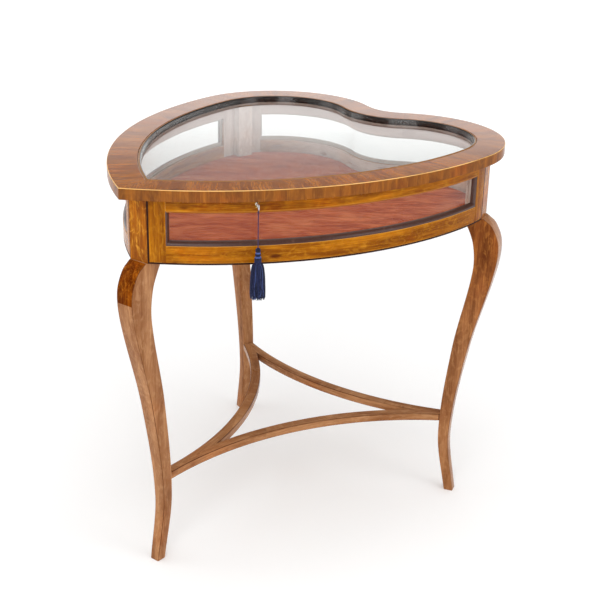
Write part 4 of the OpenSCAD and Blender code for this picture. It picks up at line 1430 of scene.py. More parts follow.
    def build_post(self, stand: Stand, finishes: Finishes) -> None:
        """Make the post above the leg, between the rails of the case.

        Args:
            stand: Where the leg stands.
            finishes: Finishes, of which the post has its own.
        """
        half, back = self.post_w / 2, self.post_inner_w / 2
        c, s = self.rail_t * math.cos(stand.kappa), self.rail_t * math.sin(stand.kappa)
        plan = [(0, -half), (0, half), (-c, half - s), (-self.post_depth, back),
                (-self.post_depth, -back), (-c, -half + s)]
        heights = np.linspace(self.case_z - 0.4, self.case_top, 9)
        rows = [(u, v, z) for z in heights for u, v in plan]
        faces = grid_faces(len(heights), len(plan), False, True)
        name = stand.node.replace("leg", "post")
        post = self.place(rows, faces, name, stand, stand.shift + 0.4, Dress.POST)
        hand_over(post, "case", finishes.post)


@dataclass
class Glazing:
    """Bent side panes, back pane and the flat glass of the lid, smooth and closed.

    Attributes:
        pane_d: Depths of a pane's two faces, in from the lid's edge.
        pane_z: Heights of a pane's foot and top.
        side_a: Directions, round the long side's centre, between which its pane runs.
        lobe_a: Direction, round the lobe's centre, from which the back pane runs.
    """

    finishes: Finishes
    pane_d: Pair = (0.0353, 0.0383)
    pane_z: Pair = (0.641, 0.7074)
    side_a: Pair = (math.radians(-54.245) - 0.0041, 0.0041)
    lobe_a: float = math.radians(35.403) - 0.0165
    lid_d: float = 0.0543
    lid_z: Pair = (0.736, 0.74)

    def sweep_pane(self, node: str, rows: list[np.ndarray]) -> None:
        """Sweep a pane between two rows of plan points and hand it over.

        Args:
            node: The CAD node that it stands for.
            rows: Plan points of its two faces.
        """
        low, top = self.pane_z
        rings = [corner for p, q in zip(*rows)
                 for corner in ((*p, low), (*q, low), (*q, top), (*p, top))]
        faces = grid_faces(len(rows[0]), 4, False, True)
        obj = mesh_piece(node + "_finished", rings, faces, 40)
        stand_in(obj, node, self.finishes.pane)

    def build_panes(self) -> None:
        """Make the three bent panes."""
        side = HEART.side()
        rows = [arc_points(side.centre, side.radius - d, *self.side_a, 48) for d in self.pane_d]
        self.sweep_pane("right_pane", rows)
        self.sweep_pane("left_pane", [row * (-1.0, 1.0) for row in rows])
        lobe, cleft, crest = HEART.lobe(), HEART.cleft(), HEART.crest_a
        back = []
        for d in self.pane_d:
            half = np.concatenate([
                arc_points(lobe.centre, lobe.radius - d, self.lobe_a, crest, 48),
                arc_points(cleft.centre, cleft.radius + d, crest - math.pi, -math.pi / 2, 16)[1:]])
            back.append(np.concatenate([half, half[:-1][::-1] * (-1.0, 1.0)]))
        self.sweep_pane("back_pane", back)

    def build_lid_glass(self) -> None:
        """Make the heart-shaped glass of the lid."""
        ring = HEART.ring(self.lid_d)
        verts = [(*p, z) for z in self.lid_z for p in ring]
        obj = mesh_piece("lid_glass_finished", verts, grid_faces(2, len(ring), False, True), 30)
        stand_in(obj, "lid_glass", self.finishes.top_glass)


@dataclass
class Lining:
    """Velvet pad on the floor of the case: crowned a little, rolled down at its edges.

    Attributes:
        low: Height of its underside.
        rings: How far in from the rim the points of the rolled edge lie.
        clear: How far in from the rim those of the middle begin.
        roll: Width of the rolled edge.
        edge: Thickness at the rim, as a share of that in the middle.
        swell: Height of its uneven lie.
        calm: Distance from the rim over which the uneven lie sets in.
    """

    low: float = 0.6166
    thick: float = 0.0025
    spacing: float = 0.009
    rim_spacing: float = 0.006
    rings: tuple[float, ...] = (0.0008, 0.002, 0.0035)
    clear: float = 0.005
    roll: float = 0.004
    edge: float = 0.35
    swell: float = 0.00028
    calm: float = 0.02

    def outline(self) -> np.ndarray:
        """Walk round the foot of the pad's node.

        Returns:
            Points of the closed outline, no further apart than the rim's spacing.
        """
        bm = bmesh.new()
        bm.from_mesh(frame["nodes"]["velvet_lining"].data)
        bmesh.ops.remove_doubles(bm, verts=bm.verts, dist=MERGE)
        foot = min(v.co.z for v in bm.verts) + 0.01 * MM
        ahead: dict = {}
        for e in bm.edges:
            p, q = e.verts
            walled = any(abs(f.normal.z) < 0.1 for f in e.link_faces)
            if p.co.z < foot and q.co.z < foot and walled:
                ahead.setdefault(p, []).append(q)
                ahead.setdefault(q, []).append(p)
        here = next(iter(ahead))
        loop, last = [here], None
        while True:
            step = next(v for v in ahead[here] if v is not last)
            if step is loop[0]:
                break
            loop.append(step)
            last, here = here, step
        corners = np.array([(v.co.x, v.co.y) for v in loop])
        bm.free()
        fine = [corners[0]]
        for p, q in zip(corners, np.roll(corners, -1, axis=0)):
            n = max(1, int(np.linalg.norm(q - p) / self.rim_spacing))
            fine += [p + (q - p) * k / n for k in range(1, n + 1)]
        return np.array(fine[:-1])

    def ring_inside(self, rim: np.ndarray, pull: float) -> np.ndarray:
        """Points that lie a small way in from the rim, all round.

        Args:
            rim: Points of the closed outline.
            pull: How far in the points lie.

        Returns:
            The points, without those that come too near to the rim elsewhere.
        """
        chord = np.roll(rim, -1, axis=0) - np.roll(rim, 1, axis=0)
        way = np.stack([-chord[:, 1], chord[:, 0]], 1)
        way /= np.linalg.norm(way, axis=1)[:, None]
        ring = rim + way * pull
        if not self.within(ring, rim).mean() > 0.5:
            ring = rim - way * pull
        return ring[self.within(ring, rim) & (self.to_rim(ring, rim) > pull * 0.8)]

    def tops(self, plan: np.ndarray, rim: np.ndarray) -> np.ndarray:
        """Height of the pad's upper side at each point of its plan.

        Args:
            plan: Points of the plan.
            rim: Points of the closed outline.

        Returns:
            The heights.
        """
        gap = self.to_rim(plan, rim)
        near = np.clip(gap / self.roll, 0, 1)
        crown = self.edge + (1 - self.edge) * np.sqrt(near * (2 - near))
        x, y = plan.T
        waves = np.sin(x * 41 + 1.3) * np.sin(y * 37) + 0.6 * np.sin(x * 93 + y * 71)
        return self.low + self.thick * crown + waves * self.swell * np.clip(gap / self.calm, 0, 1)

    def build(self, material: Material) -> None:
        """Args:
            material: Its finish.
        """
        rim = self.outline()
        lines = [np.arange(row.min(), row.max(), self.spacing) for row in rim.T]
        middle = np.stack([grid.ravel() for grid in np.meshgrid(*lines)], 1)
        middle = middle[(self.to_rim(middle, rim) > self.clear) & self.within(middle, rim)]
        every = np.concatenate([rim, *(self.ring_inside(rim, d) for d in self.rings), middle])
        edges = [(k, (k + 1) % len(rim)) for k in range(len(rim))]
        flat = delaunay_2d_cdt([Vector(p) for p in every], edges, [], 1, 1e-6)
        plan = np.array([tuple(v) for v in flat[0]])
        count = len(plan)
        verts = [(x, y, z) for (x, y), z in zip(plan, self.tops(plan, rim))]
        verts += [(x, y, self.low) for x, y in plan]
        sides: dict = {}
        for f in flat[2]:
            for a, b in zip(f, f[1:] + f[:1]):
                pair = (min(a, b), max(a, b))
                sides[pair] = sides.get(pair, 0) + 1
        faces = [tuple(f) for f in flat[2]] + [tuple(i + count for i in f[::-1]) for f in flat[2]]
        faces += [(a, b, b + count, a + count) for (a, b), n in sides.items() if n == 1]
        obj = mesh_piece("velvet_pad", verts, faces, 60)
        stand_in(obj, "velvet_lining", material)

    @staticmethod
    def to_rim(points: np.ndarray, rim: np.ndarray) -> np.ndarray:
        """Distance of each point to a closed outline.

        Args:
            points: Points of the plan.
            rim: Points of the outline.

        Returns:
            The distances.
        """
        best = np.full(len(points), np.inf)
        for p, q in zip(rim, np.roll(rim, -1, axis=0)):
            d = q - p
            t = np.clip(((points - p) @ d) / max(d @ d, 1e-12), 0, 1)[:, None]
            best = np.minimum(best, np.linalg.norm(points - p - t * d, axis=1))
        return best

    @staticmethod
    def within(points: np.ndarray, rim: np.ndarray) -> np.ndarray:
        """Whether each point lies inside a closed outline.

        Args:
            points: Points of the plan.
            rim: Points of the outline.

        Returns:
            True where it does.
        """
        odd = np.zeros(len(points), bool)
        for (x0, y0), (x1, y1) in zip(rim, np.roll(rim, -1, axis=0)):
            crosses = (y0 > points[:, 1]) != (y1 > points[:, 1])
            with np.errstate(divide="ignore", invalid="ignore"):
                at = x0 + (points[:, 1] - y0) * (x1 - x0) / (y1 - y0)
            odd ^= crosses & (points[:, 0] < at)
        return odd


class FormTree(Graph):
    """A Geometry Nodes tree with named inputs, built step by step."""

    def __init__(self, name: str, takes: dict[str, tuple[str, object]]) -> None:
        """Start the tree.

        Args:
            name: Name of the tree.
            takes: Named inputs, each with its socket type and default value.
        """
        super().__init__(bpy.data.node_groups.new(name, "GeometryNodeTree"))
        face = self.tree.interface
        face.new_socket("Geometry", in_out="INPUT", socket_type="NodeSocketGeometry")
        self.names: dict[str, str] = {}
        for label, (kind, value) in takes.items():
            socket = face.new_socket(label, in_out="INPUT", socket_type="NodeSocket" + kind)
            socket.default_value = value
            self.names[label] = socket.identifier
        face.new_socket("Geometry", in_out="OUTPUT", socket_type="NodeSocketGeometry")
        self.given = self.add("NodeGroupInput").outputs
        self.out = self.add("NodeGroupOutput")

    def vector(self, x: object, y: object, z: object) -> object:
        """Join three values into a vector."""
        return self.add("ShaderNodeCombineXYZ", {0: x, 1: y, 2: z}).outputs[0]

    def moved(self, geometry: object, by: object) -> object:
        """Move a geometry."""
        return self.add("GeometryNodeTransform", {
            "Geometry": geometry, "Translation": by}).outputs[0]

    def recalled(self, label: str, kind: str = "FLOAT") -> object:
        """Read an attribute that is stored on the points."""
        return self.add("GeometryNodeInputNamedAttribute", {"Name": label},
                        data_type=kind).outputs[0]

    def swept(self, curve: object, sides: int, radius: object) -> object:
        """Sweep a small circle along a curve, with its ends closed."""
        ring = self.add("GeometryNodeCurvePrimitiveCircle", {
            "Resolution": sides, "Radius": radius}).outputs[0]
        return self.add("GeometryNodeCurveToMesh", {
            "Curve": curve, "Profile Curve": ring, "Fill Caps": True}).outputs[0]

    def finish(self, geometry: object) -> None:
        """End the tree in Realize Instances and Set Material.

        Args:
            geometry: What the tree has made.
        """
        real = self.add("GeometryNodeRealizeInstances", {"Geometry": geometry}).outputs[0]
        last = self.add("GeometryNodeSetMaterial", {
            "Geometry": real, "Material": self.given["Material"]}).outputs[0]
        self.wire(last, self.out.inputs[0])

    def grow(self, name: str, seeds: list, values: dict, marks: dict | None = None) -> Piece:
        """Run the tree on a set of points and give the result as a plain mesh piece.

        Args:
            name: Name of the piece.
            seeds: Points that the tree starts from.
            values: Values of the named inputs.
            marks: Vector attributes of the points, by name.

        Returns:
            The new piece.
        """
        mesh = bpy.data.meshes.new(name)
        mesh.from_pydata([tuple(p) for p in seeds], [], [])
        obj = new_object(name, mesh)
        for label, rows in (marks or {}).items():
            store(obj, label, rows, "POINT")
        modifier = obj.modifiers.new("Form", "NODES")
        modifier.node_group = self.tree
        for label, value in values.items():
            modifier[self.names[label]] = value
        return settle(obj)


@dataclass(frozen=True)
class LockFrame:
    """Where the lock sits: the direction of its face, round the long side's centre."""

    a: float = math.radians(-41.2)

    def point(self, depth: float, along: float, z: float) -> Vector:
        """Give a point of the lock's frame.

        Args:
            depth: Depth in from the lid's edge.
            along: Way from the lock's middle.
            z: Height.

        Returns:
            The point.
        """
        c, s = math.cos(self.a), math.sin(self.a)
        r = HEART.side_r - depth
        return Vector((HEART.side_x + r * c - along * s, HEART.join_y + r * s + along * c, z))


LOCK = LockFrame()


@dataclass
class Metalwork:
    """Hinges, lock, key, escutcheon and all screws.

    Attributes:
        case_z: Height of the screw heads in the case.
        lid_z: Height of those in the lid.
        hinge_steps: Where the screws stand across a hinge.
        lock_d: Depth of the lock's screws in from the lid's edge.
        lock_reach: How far the screws of the lock and of the link plate stand from its middle.
    """

    finishes: Finishes
    screw_r: float = 0.0014
    head_r: float = 0.0028
    screw_len: float = 0.011
    slot_w: float = 0.0007
    slot_depth: float = 0.0007
    arris: float = 0.0002
    case_z: float = 0.7287
    lid_z: float = 0.729
    hinge_y: float = 0.368272
    hinge_steps: tuple[float, ...] = (-0.016, 0.0, 0.016)
    lock_d: float = 0.038
    lock_reach: Pair = (0.0275, 0.020)
    seed: int = 3

    def build_plates(self) -> None:
        """Hinge leaves, pins, lock parts, escutcheon and key, with eased edges."""
        for node in ("right_fixed_leaf", "left_fixed_leaf", "right_moving_leaf",
                     "left_moving_leaf", "right_hinge_pin", "left_hinge_pin", "lock_case",
                     "lock_bolt", "link_plate", "escutcheon"):
            arris = 0.0 if node.endswith(("pin", "escutcheon")) else self.arris
            stand_in(copy_of_node(node, arris), node, self.finishes.brass)
        stand_in(copy_of_node("key", 0.0, 35.0), "key", self.finishes.steel)

    def screw_tree(self) -> FormTree:
        """Build the tree that sets a slotted, countersunk screw on each point.

        Returns:
            The tree.
        """
        form = FormTree("Countersunk screws", {
            "Head radius": ("Float", self.head_r), "Shank radius": ("Float", self.screw_r),
            "Length": ("Float", self.screw_len), "Slot width": ("Float", self.slot_w),
            "Seed": ("Int", self.seed), "Material": ("Material", None)})
        given, times = form.given, form.times
        head_r, shank_r = given["Head radius"], given["Shank radius"]
        rise = form.math("SUBTRACT", head_r, shank_r)
        head = form.add("GeometryNodeMeshCone", {
            "Vertices": 20, "Radius Top": head_r, "Radius Bottom": shank_r, "Depth": rise})
        head = form.moved(head.outputs["Mesh"], form.vector(0.0, 0.0, times(rise, -1.0)))
        bar = form.vector(times(head_r, 3.0), given["Slot width"], 2 * self.slot_depth)
        slot = form.add("GeometryNodeMeshCube", {"Size": bar}).outputs["Mesh"]
        cut = form.add("GeometryNodeMeshBoolean", {"Mesh 1": head, "Mesh 2": slot},
                       operation="DIFFERENCE").outputs["Mesh"]
        shank = form.add("GeometryNodeMeshCone", {
            "Vertices": 14, "Radius Top": shank_r, "Radius Bottom": times(shank_r, 0.25),
            "Depth": form.math("SUBTRACT", given["Length"], rise)}).outputs["Mesh"]
        shank = form.moved(shank, form.vector(0.0, 0.0, times(given["Length"], -1.0)))
        both = form.add("GeometryNodeJoinGeometry")
        form.wire(cut, both.inputs[0])
        form.wire(shank, both.inputs[0])
        spin = form.add("FunctionNodeRandomValue", {
            "Min": (0.0, 0.0, 0.0), "Max": (0.0, 0.0, 3.1), "Seed": given["Seed"]},
            data_type="FLOAT_VECTOR").outputs[0]
        turn = form.recalled("turn", "FLOAT_VECTOR")
        total = form.add("ShaderNodeVectorMath", {0: spin, 1: turn}, operation="ADD").outputs[0]
        form.finish(form.add("GeometryNodeInstanceOnPoints", {
            "Points": given["Geometry"], "Instance": both.outputs[0], "Rotation": total
        }).outputs[0])
        return form

    def build_screws(self) -> None:
        """Screws of hinges, lock and link plate: one piece for each body."""
        form = self.screw_tree()
        for body, z, reach, flip in (("case", self.case_z, self.lock_reach[0], 0.0),
                                     ("lid", self.lid_z, self.lock_reach[1], math.pi)):
            points = [Vector((side * HEART.lobe_x + x, self.hinge_y, z))
                      for side in (1, -1) for x in self.hinge_steps]
            points += [LOCK.point(self.lock_d, side * reach, z) for side in (-1, 1)]
            node = body + "_screws"
            obj = form.grow(node + "_finished", points, {"Material": self.finishes.brass},
                            {"turn": [(flip, 0.0, 0.0)] * len(points)})
            stand_in(obj, node, self.finishes.brass)


@dataclass
class TasselSet:
    """Loop, knot, twisted cord and tassel below the key's bow.

    Attributes:
        hang_d: Depth of the cord in from the lid's edge.
        cord_top: Height at which the free cord begins.
        head_r: Radius of the head's lower bulb.
        winding_r: Radius of the thread that winds round the neck.
        knot_size: Size of the knot across, up and through.
        relief: Share of a cord's radius that the grooves between its strands take.
    """

    finishes: Finishes
    hang_d: float = 0.008
    cord_top: float = 0.70615
    cord_len: float = 0.060
    cord_r: float = 0.0009
    head_r: float = 0.0064
    neck_r: float = 0.00525
    head_h: float = 0.025
    skirt_r: float = 0.014
    skirt_h: float = 0.068
    threads: int = 560
    thread_r: float = 0.0004
    winding_r: float = 0.00045
    loop_z: float = 0.7127
    loop_r: float = 0.0023
    knot_z: float = 0.7084
    knot_size: tuple[float, float, float] = (0.00052, 0.00042, 0.0008)
    relief: float = 0.16

    @property
    def hang(self) -> Vector:
        """Point straight above the cord, at height zero."""
        return LOCK.point(self.hang_d, 0.0, 0.0)

    @property
    def head_z(self) -> float:
        """Height at which the head ends and the skirt begins."""
        return self.cord_top - self.cord_len - self.head_h

    def plumb(self, steps: int) -> list[Vector]:
        """Points of the free cord from its top to its foot."""
        return [self.hang + Vector((0, 0, self.cord_top - self.cord_len * i / steps))
                for i in range(steps + 1)]

    def tube(self, name: str, path: np.ndarray, radius: float, sides: int, twists: float,
             closed: bool, strands: int = 3) -> Piece:
        """Make a tube of twisted strands along a path.

        Args:
            name: Name of the piece.
            path: Points of its middle line.
            radius: Greatest radius.
            sides: Points round each ring.
            twists: Whole turns of the strands over the length.
            closed: Whether the path is a closed loop.
            strands: How many strands show.

        Returns:
            The piece.
        """
        count = len(path)
        ahead = np.roll(path, -1, 0) - np.roll(path, 1, 0)
        if not closed:
            ahead[0], ahead[-1] = path[1] - path[0], path[-1] - path[-2]
        ahead /= np.linalg.norm(ahead, axis=1)[:, None]
        side = np.cross(ahead[0], (0.31, 0.2, 0.93))
        if np.linalg.norm(side) < 0.1:
            side = np.cross(ahead[0], (1.0, 0.0, 0.0))
        rings, shades = [], []
        for i in range(count):
            side = side - ahead[i] * (side @ ahead[i])
            side /= np.linalg.norm(side)
            up = np.cross(ahead[i], side)
            spin = 2 * math.pi * twists * i / (count if closed else count - 1)
            for k in range(sides):
                a = 2 * math.pi * k / sides
                swell = abs(math.cos(strands * (a - spin) / 2))
                r = radius * (1 - self.relief + self.relief * swell)
                rings.append(path[i] + r * (math.cos(a) * side + math.sin(a) * up))
                # Strand crests are paler and the grooves between strands darker: painted highlight
                # and painted shade.
                shades.append(0.25 + 0.7 * swell)
        obj = mesh_piece(name, rings, grid_faces(count, sides, closed, not closed), 70)
        store(obj, "shade", shades, "POINT")
        return obj

    def build_cord(self) -> Piece:
        """Make the free cord, of twisted silk, hanging plumb.

        Returns:
            The cord.
        """
        path = np.array(self.plumb(110))
        obj = self.tube("tassel_cord_twisted", path, self.cord_r, 14, 13, False)
        stand_in(obj, "tassel_cord", self.finishes.cord)
        return obj

    def build_loop(self) -> None:
        """Make the loop round the bow's wire and the small overhand knot under it."""
        c, s = math.cos(LOCK.a), math.sin(LOCK.a)
        hang = np.array(self.hang)
        a = np.linspace(0, 2 * math.pi, 49)[:-1]
        round_wire = np.stack([c * np.cos(a), s * np.cos(a), np.sin(a)], 1) * self.loop_r
        loop = self.tube("cord_loop_twisted", hang + (0, 0, self.loop_z) + round_wire, 0.0008, 10,
                         5, True)
        t = np.linspace(0, 2 * math.pi, 91)[:-1]
        across, up, through = (np.stack([
            np.sin(t) + 2 * np.sin(2 * t), np.cos(t) - 2 * np.cos(2 * t), -np.sin(3 * t)], 1)
            * self.knot_size).T
        turned = np.stack([across * -s + through * c, across * c + through * s, up], 1)
        knot = self.tube("cord_knot_twisted", hang + (0, 0, self.knot_z) + turned, 0.0007, 9, 9,
                         True)
        stand_in(loop, "cord_loop", self.finishes.cord)
        hand_over(knot, "knot", self.finishes.cord)

    def head_profile(self) -> list[tuple[float, float, float]]:
        """Radius, height and paleness of the head's rings: a knob, two bulbs and the neck; the
        paleness paints highlights at the waists.

        Returns:
            One row for each ring, from the top down.
        """
        top = self.cord_top - self.cord_len
        profile = [(0.0010, top - 0.0002, 0.0)]
        for start, tall, wide, waist in ((0.0, 0.0085, 0.0044, 0.0028),
                                         (0.0085, 0.007, 0.0048, 0.0032),
                                         (0.0155, 0.007, self.head_r * 0.95, 0.004)):
            for i in range(1, 9):
                a = math.radians(20 * i)
                neck = waist if start or i > 4 else 0.0012
                # The last rows of each bulb and the first rows of the lower bulbs are pale: painted
                # highlights at the waists.
                profile.append((neck + (wide - neck) * math.sin(a) ** 0.8,
                                top - start - tall * (1 - math.cos(a)) / 2,
                                float(i > 6 or (i < 3 and start > 0))))
        profile += [(self.neck_r * share, self.head_z + rise, 0.0)
                    for share, rise in ((1.0, 0.002), (0.97, 0.001), (1.02, -0.004))]
        return profile

    def build_head(self) -> Piece:
        """Make the tassel's head: threads drawn down over its bulbs, with painted highlights at the
        waists and painted shade between the ribs.

        Returns:
            The head.
        """
        sides, ribs = 144, 36
        tint = np.random.default_rng(11).random(ribs)
        profile, hang = self.head_profile(), self.hang
        rows, shades = [], []
        for r, z, waist_highlight in profile:
            for k in range(sides):
                a = 2 * math.pi * k / sides
                groove = abs(math.cos(ribs * a / 2))
                reach = r * (0.93 + 0.07 * groove)
                rows.append((hang.x + reach * math.cos(a), hang.y + reach * math.sin(a), z))
                # Each rib has its own tone; the grooves between ribs are darker, a painted shade.
                shade = float(tint[k * ribs // sides]) * (0.4 + 0.6 * groove)
                # Rows marked at the waists are pale: a painted highlight.
                shades.append(max(waist_highlight * 1.3, shade))
        obj = mesh_piece("tassel_head", rows, grid_faces(len(profile), sides, False, True), 70)
        store(obj, "shade", shades, "POINT")
        hand_over(obj, "tassel", self.finishes.thread)
        return obj

    def build_windings(self) -> Piece:
        """Make the turns of thread round the neck, from a spiral.

        Returns:
            The windings.
        """
        form = FormTree("Wound thread", {
            "Turns": ("Float", 6.0), "Radius": ("Float", self.neck_r + 0.0002),
            "Height": ("Float", 0.0046), "Thread radius": ("Float", self.winding_r),
            "Start": ("Vector", (0, 0, 0)), "Material": ("Material", None)})
        given = form.given
        spiral = form.add("GeometryNodeCurveSpiral", {
            "Resolution": 40, "Rotations": given["Turns"], "Start Radius": given["Radius"],
            "End Radius": given["Radius"], "Height": given["Height"]}).outputs[0]
        form.finish(form.moved(form.swept(spiral, 7, given["Thread radius"]), given["Start"]))
        obj = form.grow("tassel_neck_winding", [(0, 0, 0)], {
            "Start": self.hang + Vector((0, 0, self.head_z - 0.0006)),
            "Material": self.finishes.thread})
        store(obj, "shade", [0.6] * len(obj.data.vertices), "POINT")
        hand_over(obj, "tassel", self.finishes.thread)
        return obj

    def skirt_tree(self) -> FormTree:
        """Build the tree that lets separate threads fall from the neck and spread.

        Returns:
            The tree.
        """
        form = FormTree("Tassel skirt", {
            "Top radius": ("Float", self.neck_r), "Bottom radius": ("Float", self.skirt_r),
            "Length": ("Float", self.skirt_h - 0.002), "Thread radius": ("Float", self.thread_r),
            "Waver": ("Float", 0.0014), "Seed": ("Int", 7), "Start": ("Vector", (0, 0, 0)),
            "Material": ("Material", None)})
        given, times = form.given, form.times
        points = given["Geometry"]
        for step, (label, low, high) in enumerate((
                ("way", 0.0, 2 * math.pi), ("reach", 0.0, 1.0), ("shade", 0.0, 1.0),
                ("short", 0.87, 1.0), ("phase", 0.0, 40.0)), start=1):
            chance = form.add("FunctionNodeRandomValue", {
                2: low, 3: high, "Seed": form.math("ADD", given["Seed"], float(step))
            }, data_type="FLOAT").outputs[1]
            points = form.add("GeometryNodeStoreNamedAttribute", {
                "Geometry": points, "Name": label, "Value": chance}, data_type="FLOAT",
                domain="POINT").outputs[0]
        line = form.add("GeometryNodeCurvePrimitiveLine", {
            "Start": (0, 0, 0), "End": (0, 0, -1)}).outputs[0]
        line = form.add("GeometryNodeResampleCurve", {"Curve": line, "Count": 11}).outputs[0]
        threads = form.add("GeometryNodeInstanceOnPoints", {
            "Points": points, "Instance": line}).outputs[0]
        threads = form.add("GeometryNodeRealizeInstances", {"Geometry": threads}).outputs[0]
        t = form.add("GeometryNodeSplineParameter").outputs["Factor"]
        spread = form.math("SINE", times(form.math("POWER", t, 0.625), math.pi / 2))
        spread = form.math("POWER", spread, 0.55)
        widen = form.math("SUBTRACT", given["Bottom radius"], given["Top radius"])
        radius = form.math("ADD", given["Top radius"], times(spread, widen))
        radius = form.math("SUBTRACT", radius, given["Thread radius"])
        radius = times(radius, form.math("POWER", form.recalled("reach"), 0.42))
        wave = form.math("SINE", form.math("ADD", times(t, 9.0), form.recalled("phase")))
        wave = form.math("DIVIDE", times(times(wave, t), given["Waver"]), 0.012)
        angle = form.math("ADD", form.recalled("way"), wave)
        drop = times(times(t, given["Length"]), form.recalled("short"))
        spot = form.vector(times(radius, form.math("COSINE", angle)),
                           times(radius, form.math("SINE", angle)), times(drop, -1.0))
        place = form.add("ShaderNodeVectorMath", {0: spot, 1: given["Start"]},
                         operation="ADD").outputs[0]
        threads = form.add("GeometryNodeSetPosition", {
            "Geometry": threads, "Position": place}).outputs[0]
        form.finish(form.swept(threads, 5, given["Thread radius"]))
        return form

    def build_skirt(self) -> None:
        """Make the skirt of some hundreds of separate threads."""
        obj = self.skirt_tree().grow("tassel_skirt", [(0, 0, 0)] * self.threads, {
            "Start": self.hang + Vector((0, 0, self.head_z)), "Material": self.finishes.thread})
        stand_in(obj, "tassel", self.finishes.thread)

    def build(self) -> None:
        cord = self.build_cord()
        self.build_loop()
        pieces = [self.build_head(), self.build_windings()]
        self.build_skirt()
        route = [tuple(p) for p in self.plumb(14)]
        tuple(route[0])


@dataclass
class Studio:
    """Pale floor, soft lamps, even surroundings and the camera.

    Attributes:
        place: Where the camera stands.
        yaw: How far it is turned, from +Y towards -X.
        focal_px: Its focal length in pixels of the photograph.
        aim: What the lamps face.
        lamps: Name, place, size and power of each lamp.
    """

    place: tuple[float, float, float] = (1.37456, -1.68132, 1.31774)
    yaw: float = math.radians(37.73)
    pitch: float = math.radians(22.227)
    roll: float = math.radians(1.392)
    focal_px: float = 1185.11
    photo_w: float = 603.0
    sensor_w: float = 36.0
    aim: tuple[float, float, float] = (0.0, 0.0, 0.5)
    lamps: tuple = (("Overhead lamp", (0.2, -0.2, 3.2), 2.6, 20.0),
                    ("Front lamp", (1.4, -2.7, 1.9), 2.0, 28.0),
                    ("Left lamp", (-2.6, -1.6, 1.7), 1.8, 10.0),
                    ("Right lamp", (2.8, 0.4, 1.8), 1.6, 14.0))
    floor_half: float = 14.0

    def build_camera(self) -> None:
        """Set the camera where the photograph was taken from."""
        data = bpy.data.cameras.new("Camera")
        data.sensor_fit = "HORIZONTAL"
        data.sensor_width = self.sensor_w
        data.lens = self.focal_px * self.sensor_w / self.photo_w
        camera = new_object("Camera", data)
        a, e = self.yaw, self.pitch
        ahead = Vector((-math.sin(a) * math.cos(e), math.cos(a) * math.cos(e), -math.sin(e)))
        right = Vector((math.cos(a), math.sin(a), 0.0))
        up = right.cross(ahead)
        c, s = math.cos(self.roll), math.sin(self.roll)
        right, up = right * c + up * s, up * c - right * s
        turn = Matrix((right, up, -ahead)).transposed().to_4x4()
        camera.matrix_world = Matrix.Translation(self.place) @ turn
        bpy.context.scene.camera = camera

    def build_floor(self) -> None:
        """Lay a plain pale floor that runs far out and keeps the table's soft shadow."""
        far = self.floor_half
        floor = mesh_piece("floor", [(-far, -far, 0), (far, -far, 0), (far, far, 0),
                                     (-far, far, 0)], [(0, 1, 2, 3)])
        material, g, shader, out = start_material("Pale floor")
        join(g, shader, Base_Color=(0.9, 0.9, 0.9, 1.0), Roughness=0.9, Specular_IOR_Level=0.1)
        away = g.add("ShaderNodeVectorMath", {0: g.here()}, operation="LENGTH").outputs["Value"]
        glow = g.add("ShaderNodeEmission", {
            "Color": (1, 1, 1, 1), "Strength": g.band(away, 0.9, 4.5, 0.115, 0.5)})
        both = g.add("ShaderNodeAddShader", {0: shader.outputs[0], 1: glow.outputs[0]})
        path = g.add("ShaderNodeLightPath").outputs
        seen = g.math("MAXIMUM", path["Is Camera Ray"], path["Is Glossy Ray"])
        seen = g.math("MAXIMUM", seen, path["Is Transmission Ray"])
        pick = g.add("ShaderNodeMixShader", {
            0: seen, 1: shader.outputs[0], 2: both.outputs[0]})
        g.wire(pick.outputs[0], out.inputs["Surface"])
        floor.data.materials.append(material)

    def build_surroundings(self) -> None:
        """Set even soft light all round; the backdrop itself shows white."""
        world = bpy.data.worlds.new("Surroundings")
        bpy.context.scene.world = world
        world.use_nodes = True
        g = Graph(world.node_tree)
        path = g.add("ShaderNodeLightPath").outputs
        seen = g.math("MAXIMUM", path["Is Camera Ray"], path["Is Transmission Ray"])
        way = g.add("ShaderNodeTexCoord").outputs["Generated"]
        rise = g.add("ShaderNodeSeparateXYZ", {0: way}).outputs["Z"]
        front = g.add("ShaderNodeVectorMath", {0: way, 1: (0.61, -0.79, 0.0)},
                      operation="DOT_PRODUCT").outputs["Value"]
        shine = g.band(rise, 0.229, 0.28, 1.0, 0.05)
        shine = g.math("MAXIMUM", shine, g.band(rise, 0.5, 0.8, 0.0, 0.9))
        shine = g.times(shine, g.band(front, -0.2, 0.5, 1.0, 0.25))
        level = g.math("MAXIMUM", seen, g.times(path["Is Glossy Ray"], shine))
        plain = g.math("SUBTRACT", 1.0, g.math("MAXIMUM", seen, path["Is Glossy Ray"]))
        strength = g.math("MULTIPLY_ADD", plain, 0.8, level)
        back = g.add("ShaderNodeBackground", {"Color": (1.0, 1.0, 1.0, 1.0), "Strength": strength})
        g.add("ShaderNodeOutputWorld", {"Surface": back.outputs[0]})

    def hang_lamps(self) -> None:
        """Hang the large soft lamps, all facing the table."""
        for name, at, size, power in self.lamps:
            data = bpy.data.lights.new(name, "AREA")
            data.shape, data.size, data.energy = "DISK", size, power
            obj = new_object(name, data)
            turn = (Vector(self.aim) - Vector(at)).to_track_quat("-Z", "Y").to_matrix().to_4x4()
            obj.matrix_world = Matrix.Translation(at) @ turn

    def build(self) -> None:
        """Set the whole stage."""
        self.build_floor()
        self.build_surroundings()
        self.hang_lamps()
        bpy.context.scene.view_settings.view_transform = "Standard"


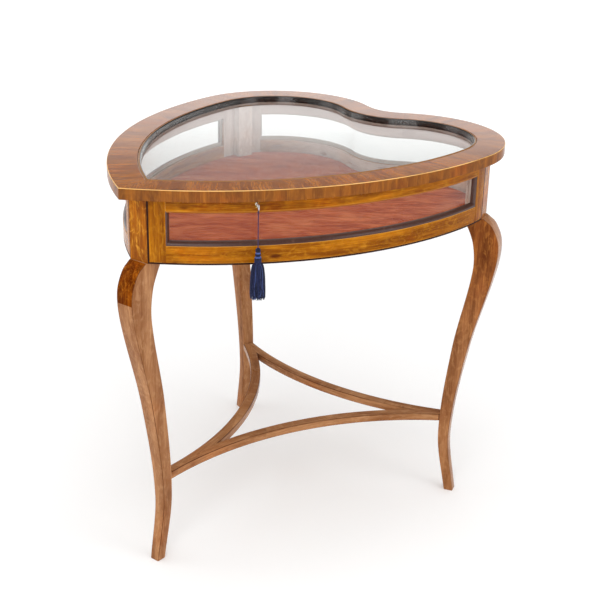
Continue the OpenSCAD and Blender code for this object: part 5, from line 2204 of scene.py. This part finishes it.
def main() -> None:
    """Build the camera, each sub-assembly in turn and the stage."""
    studio = Studio()
    studio.build_camera()
    finishes = Finishes()
    TasselSet(finishes).build()
    log.info("tassel and cord made")
    joinery = Joinery(finishes)
    joinery.build_case()
    joinery.build_lid()
    joinery.build_stretchers()
    trim = DarkWork(finishes)
    trim.build_case_trim()
    trim.build_lid_beads()
    leg = Leg()
    for stand in leg.stands():
        leg.build(stand, finishes)
    glazing = Glazing(finishes)
    glazing.build_panes()
    glazing.build_lid_glass()
    Lining().build(finishes.velvet)
    metal = Metalwork(finishes)
    metal.build_plates()
    metal.build_screws()
    studio.build()


if __name__ == "__main__":
    logging.basicConfig(level=logging.INFO, format="%(message)s")
    main()
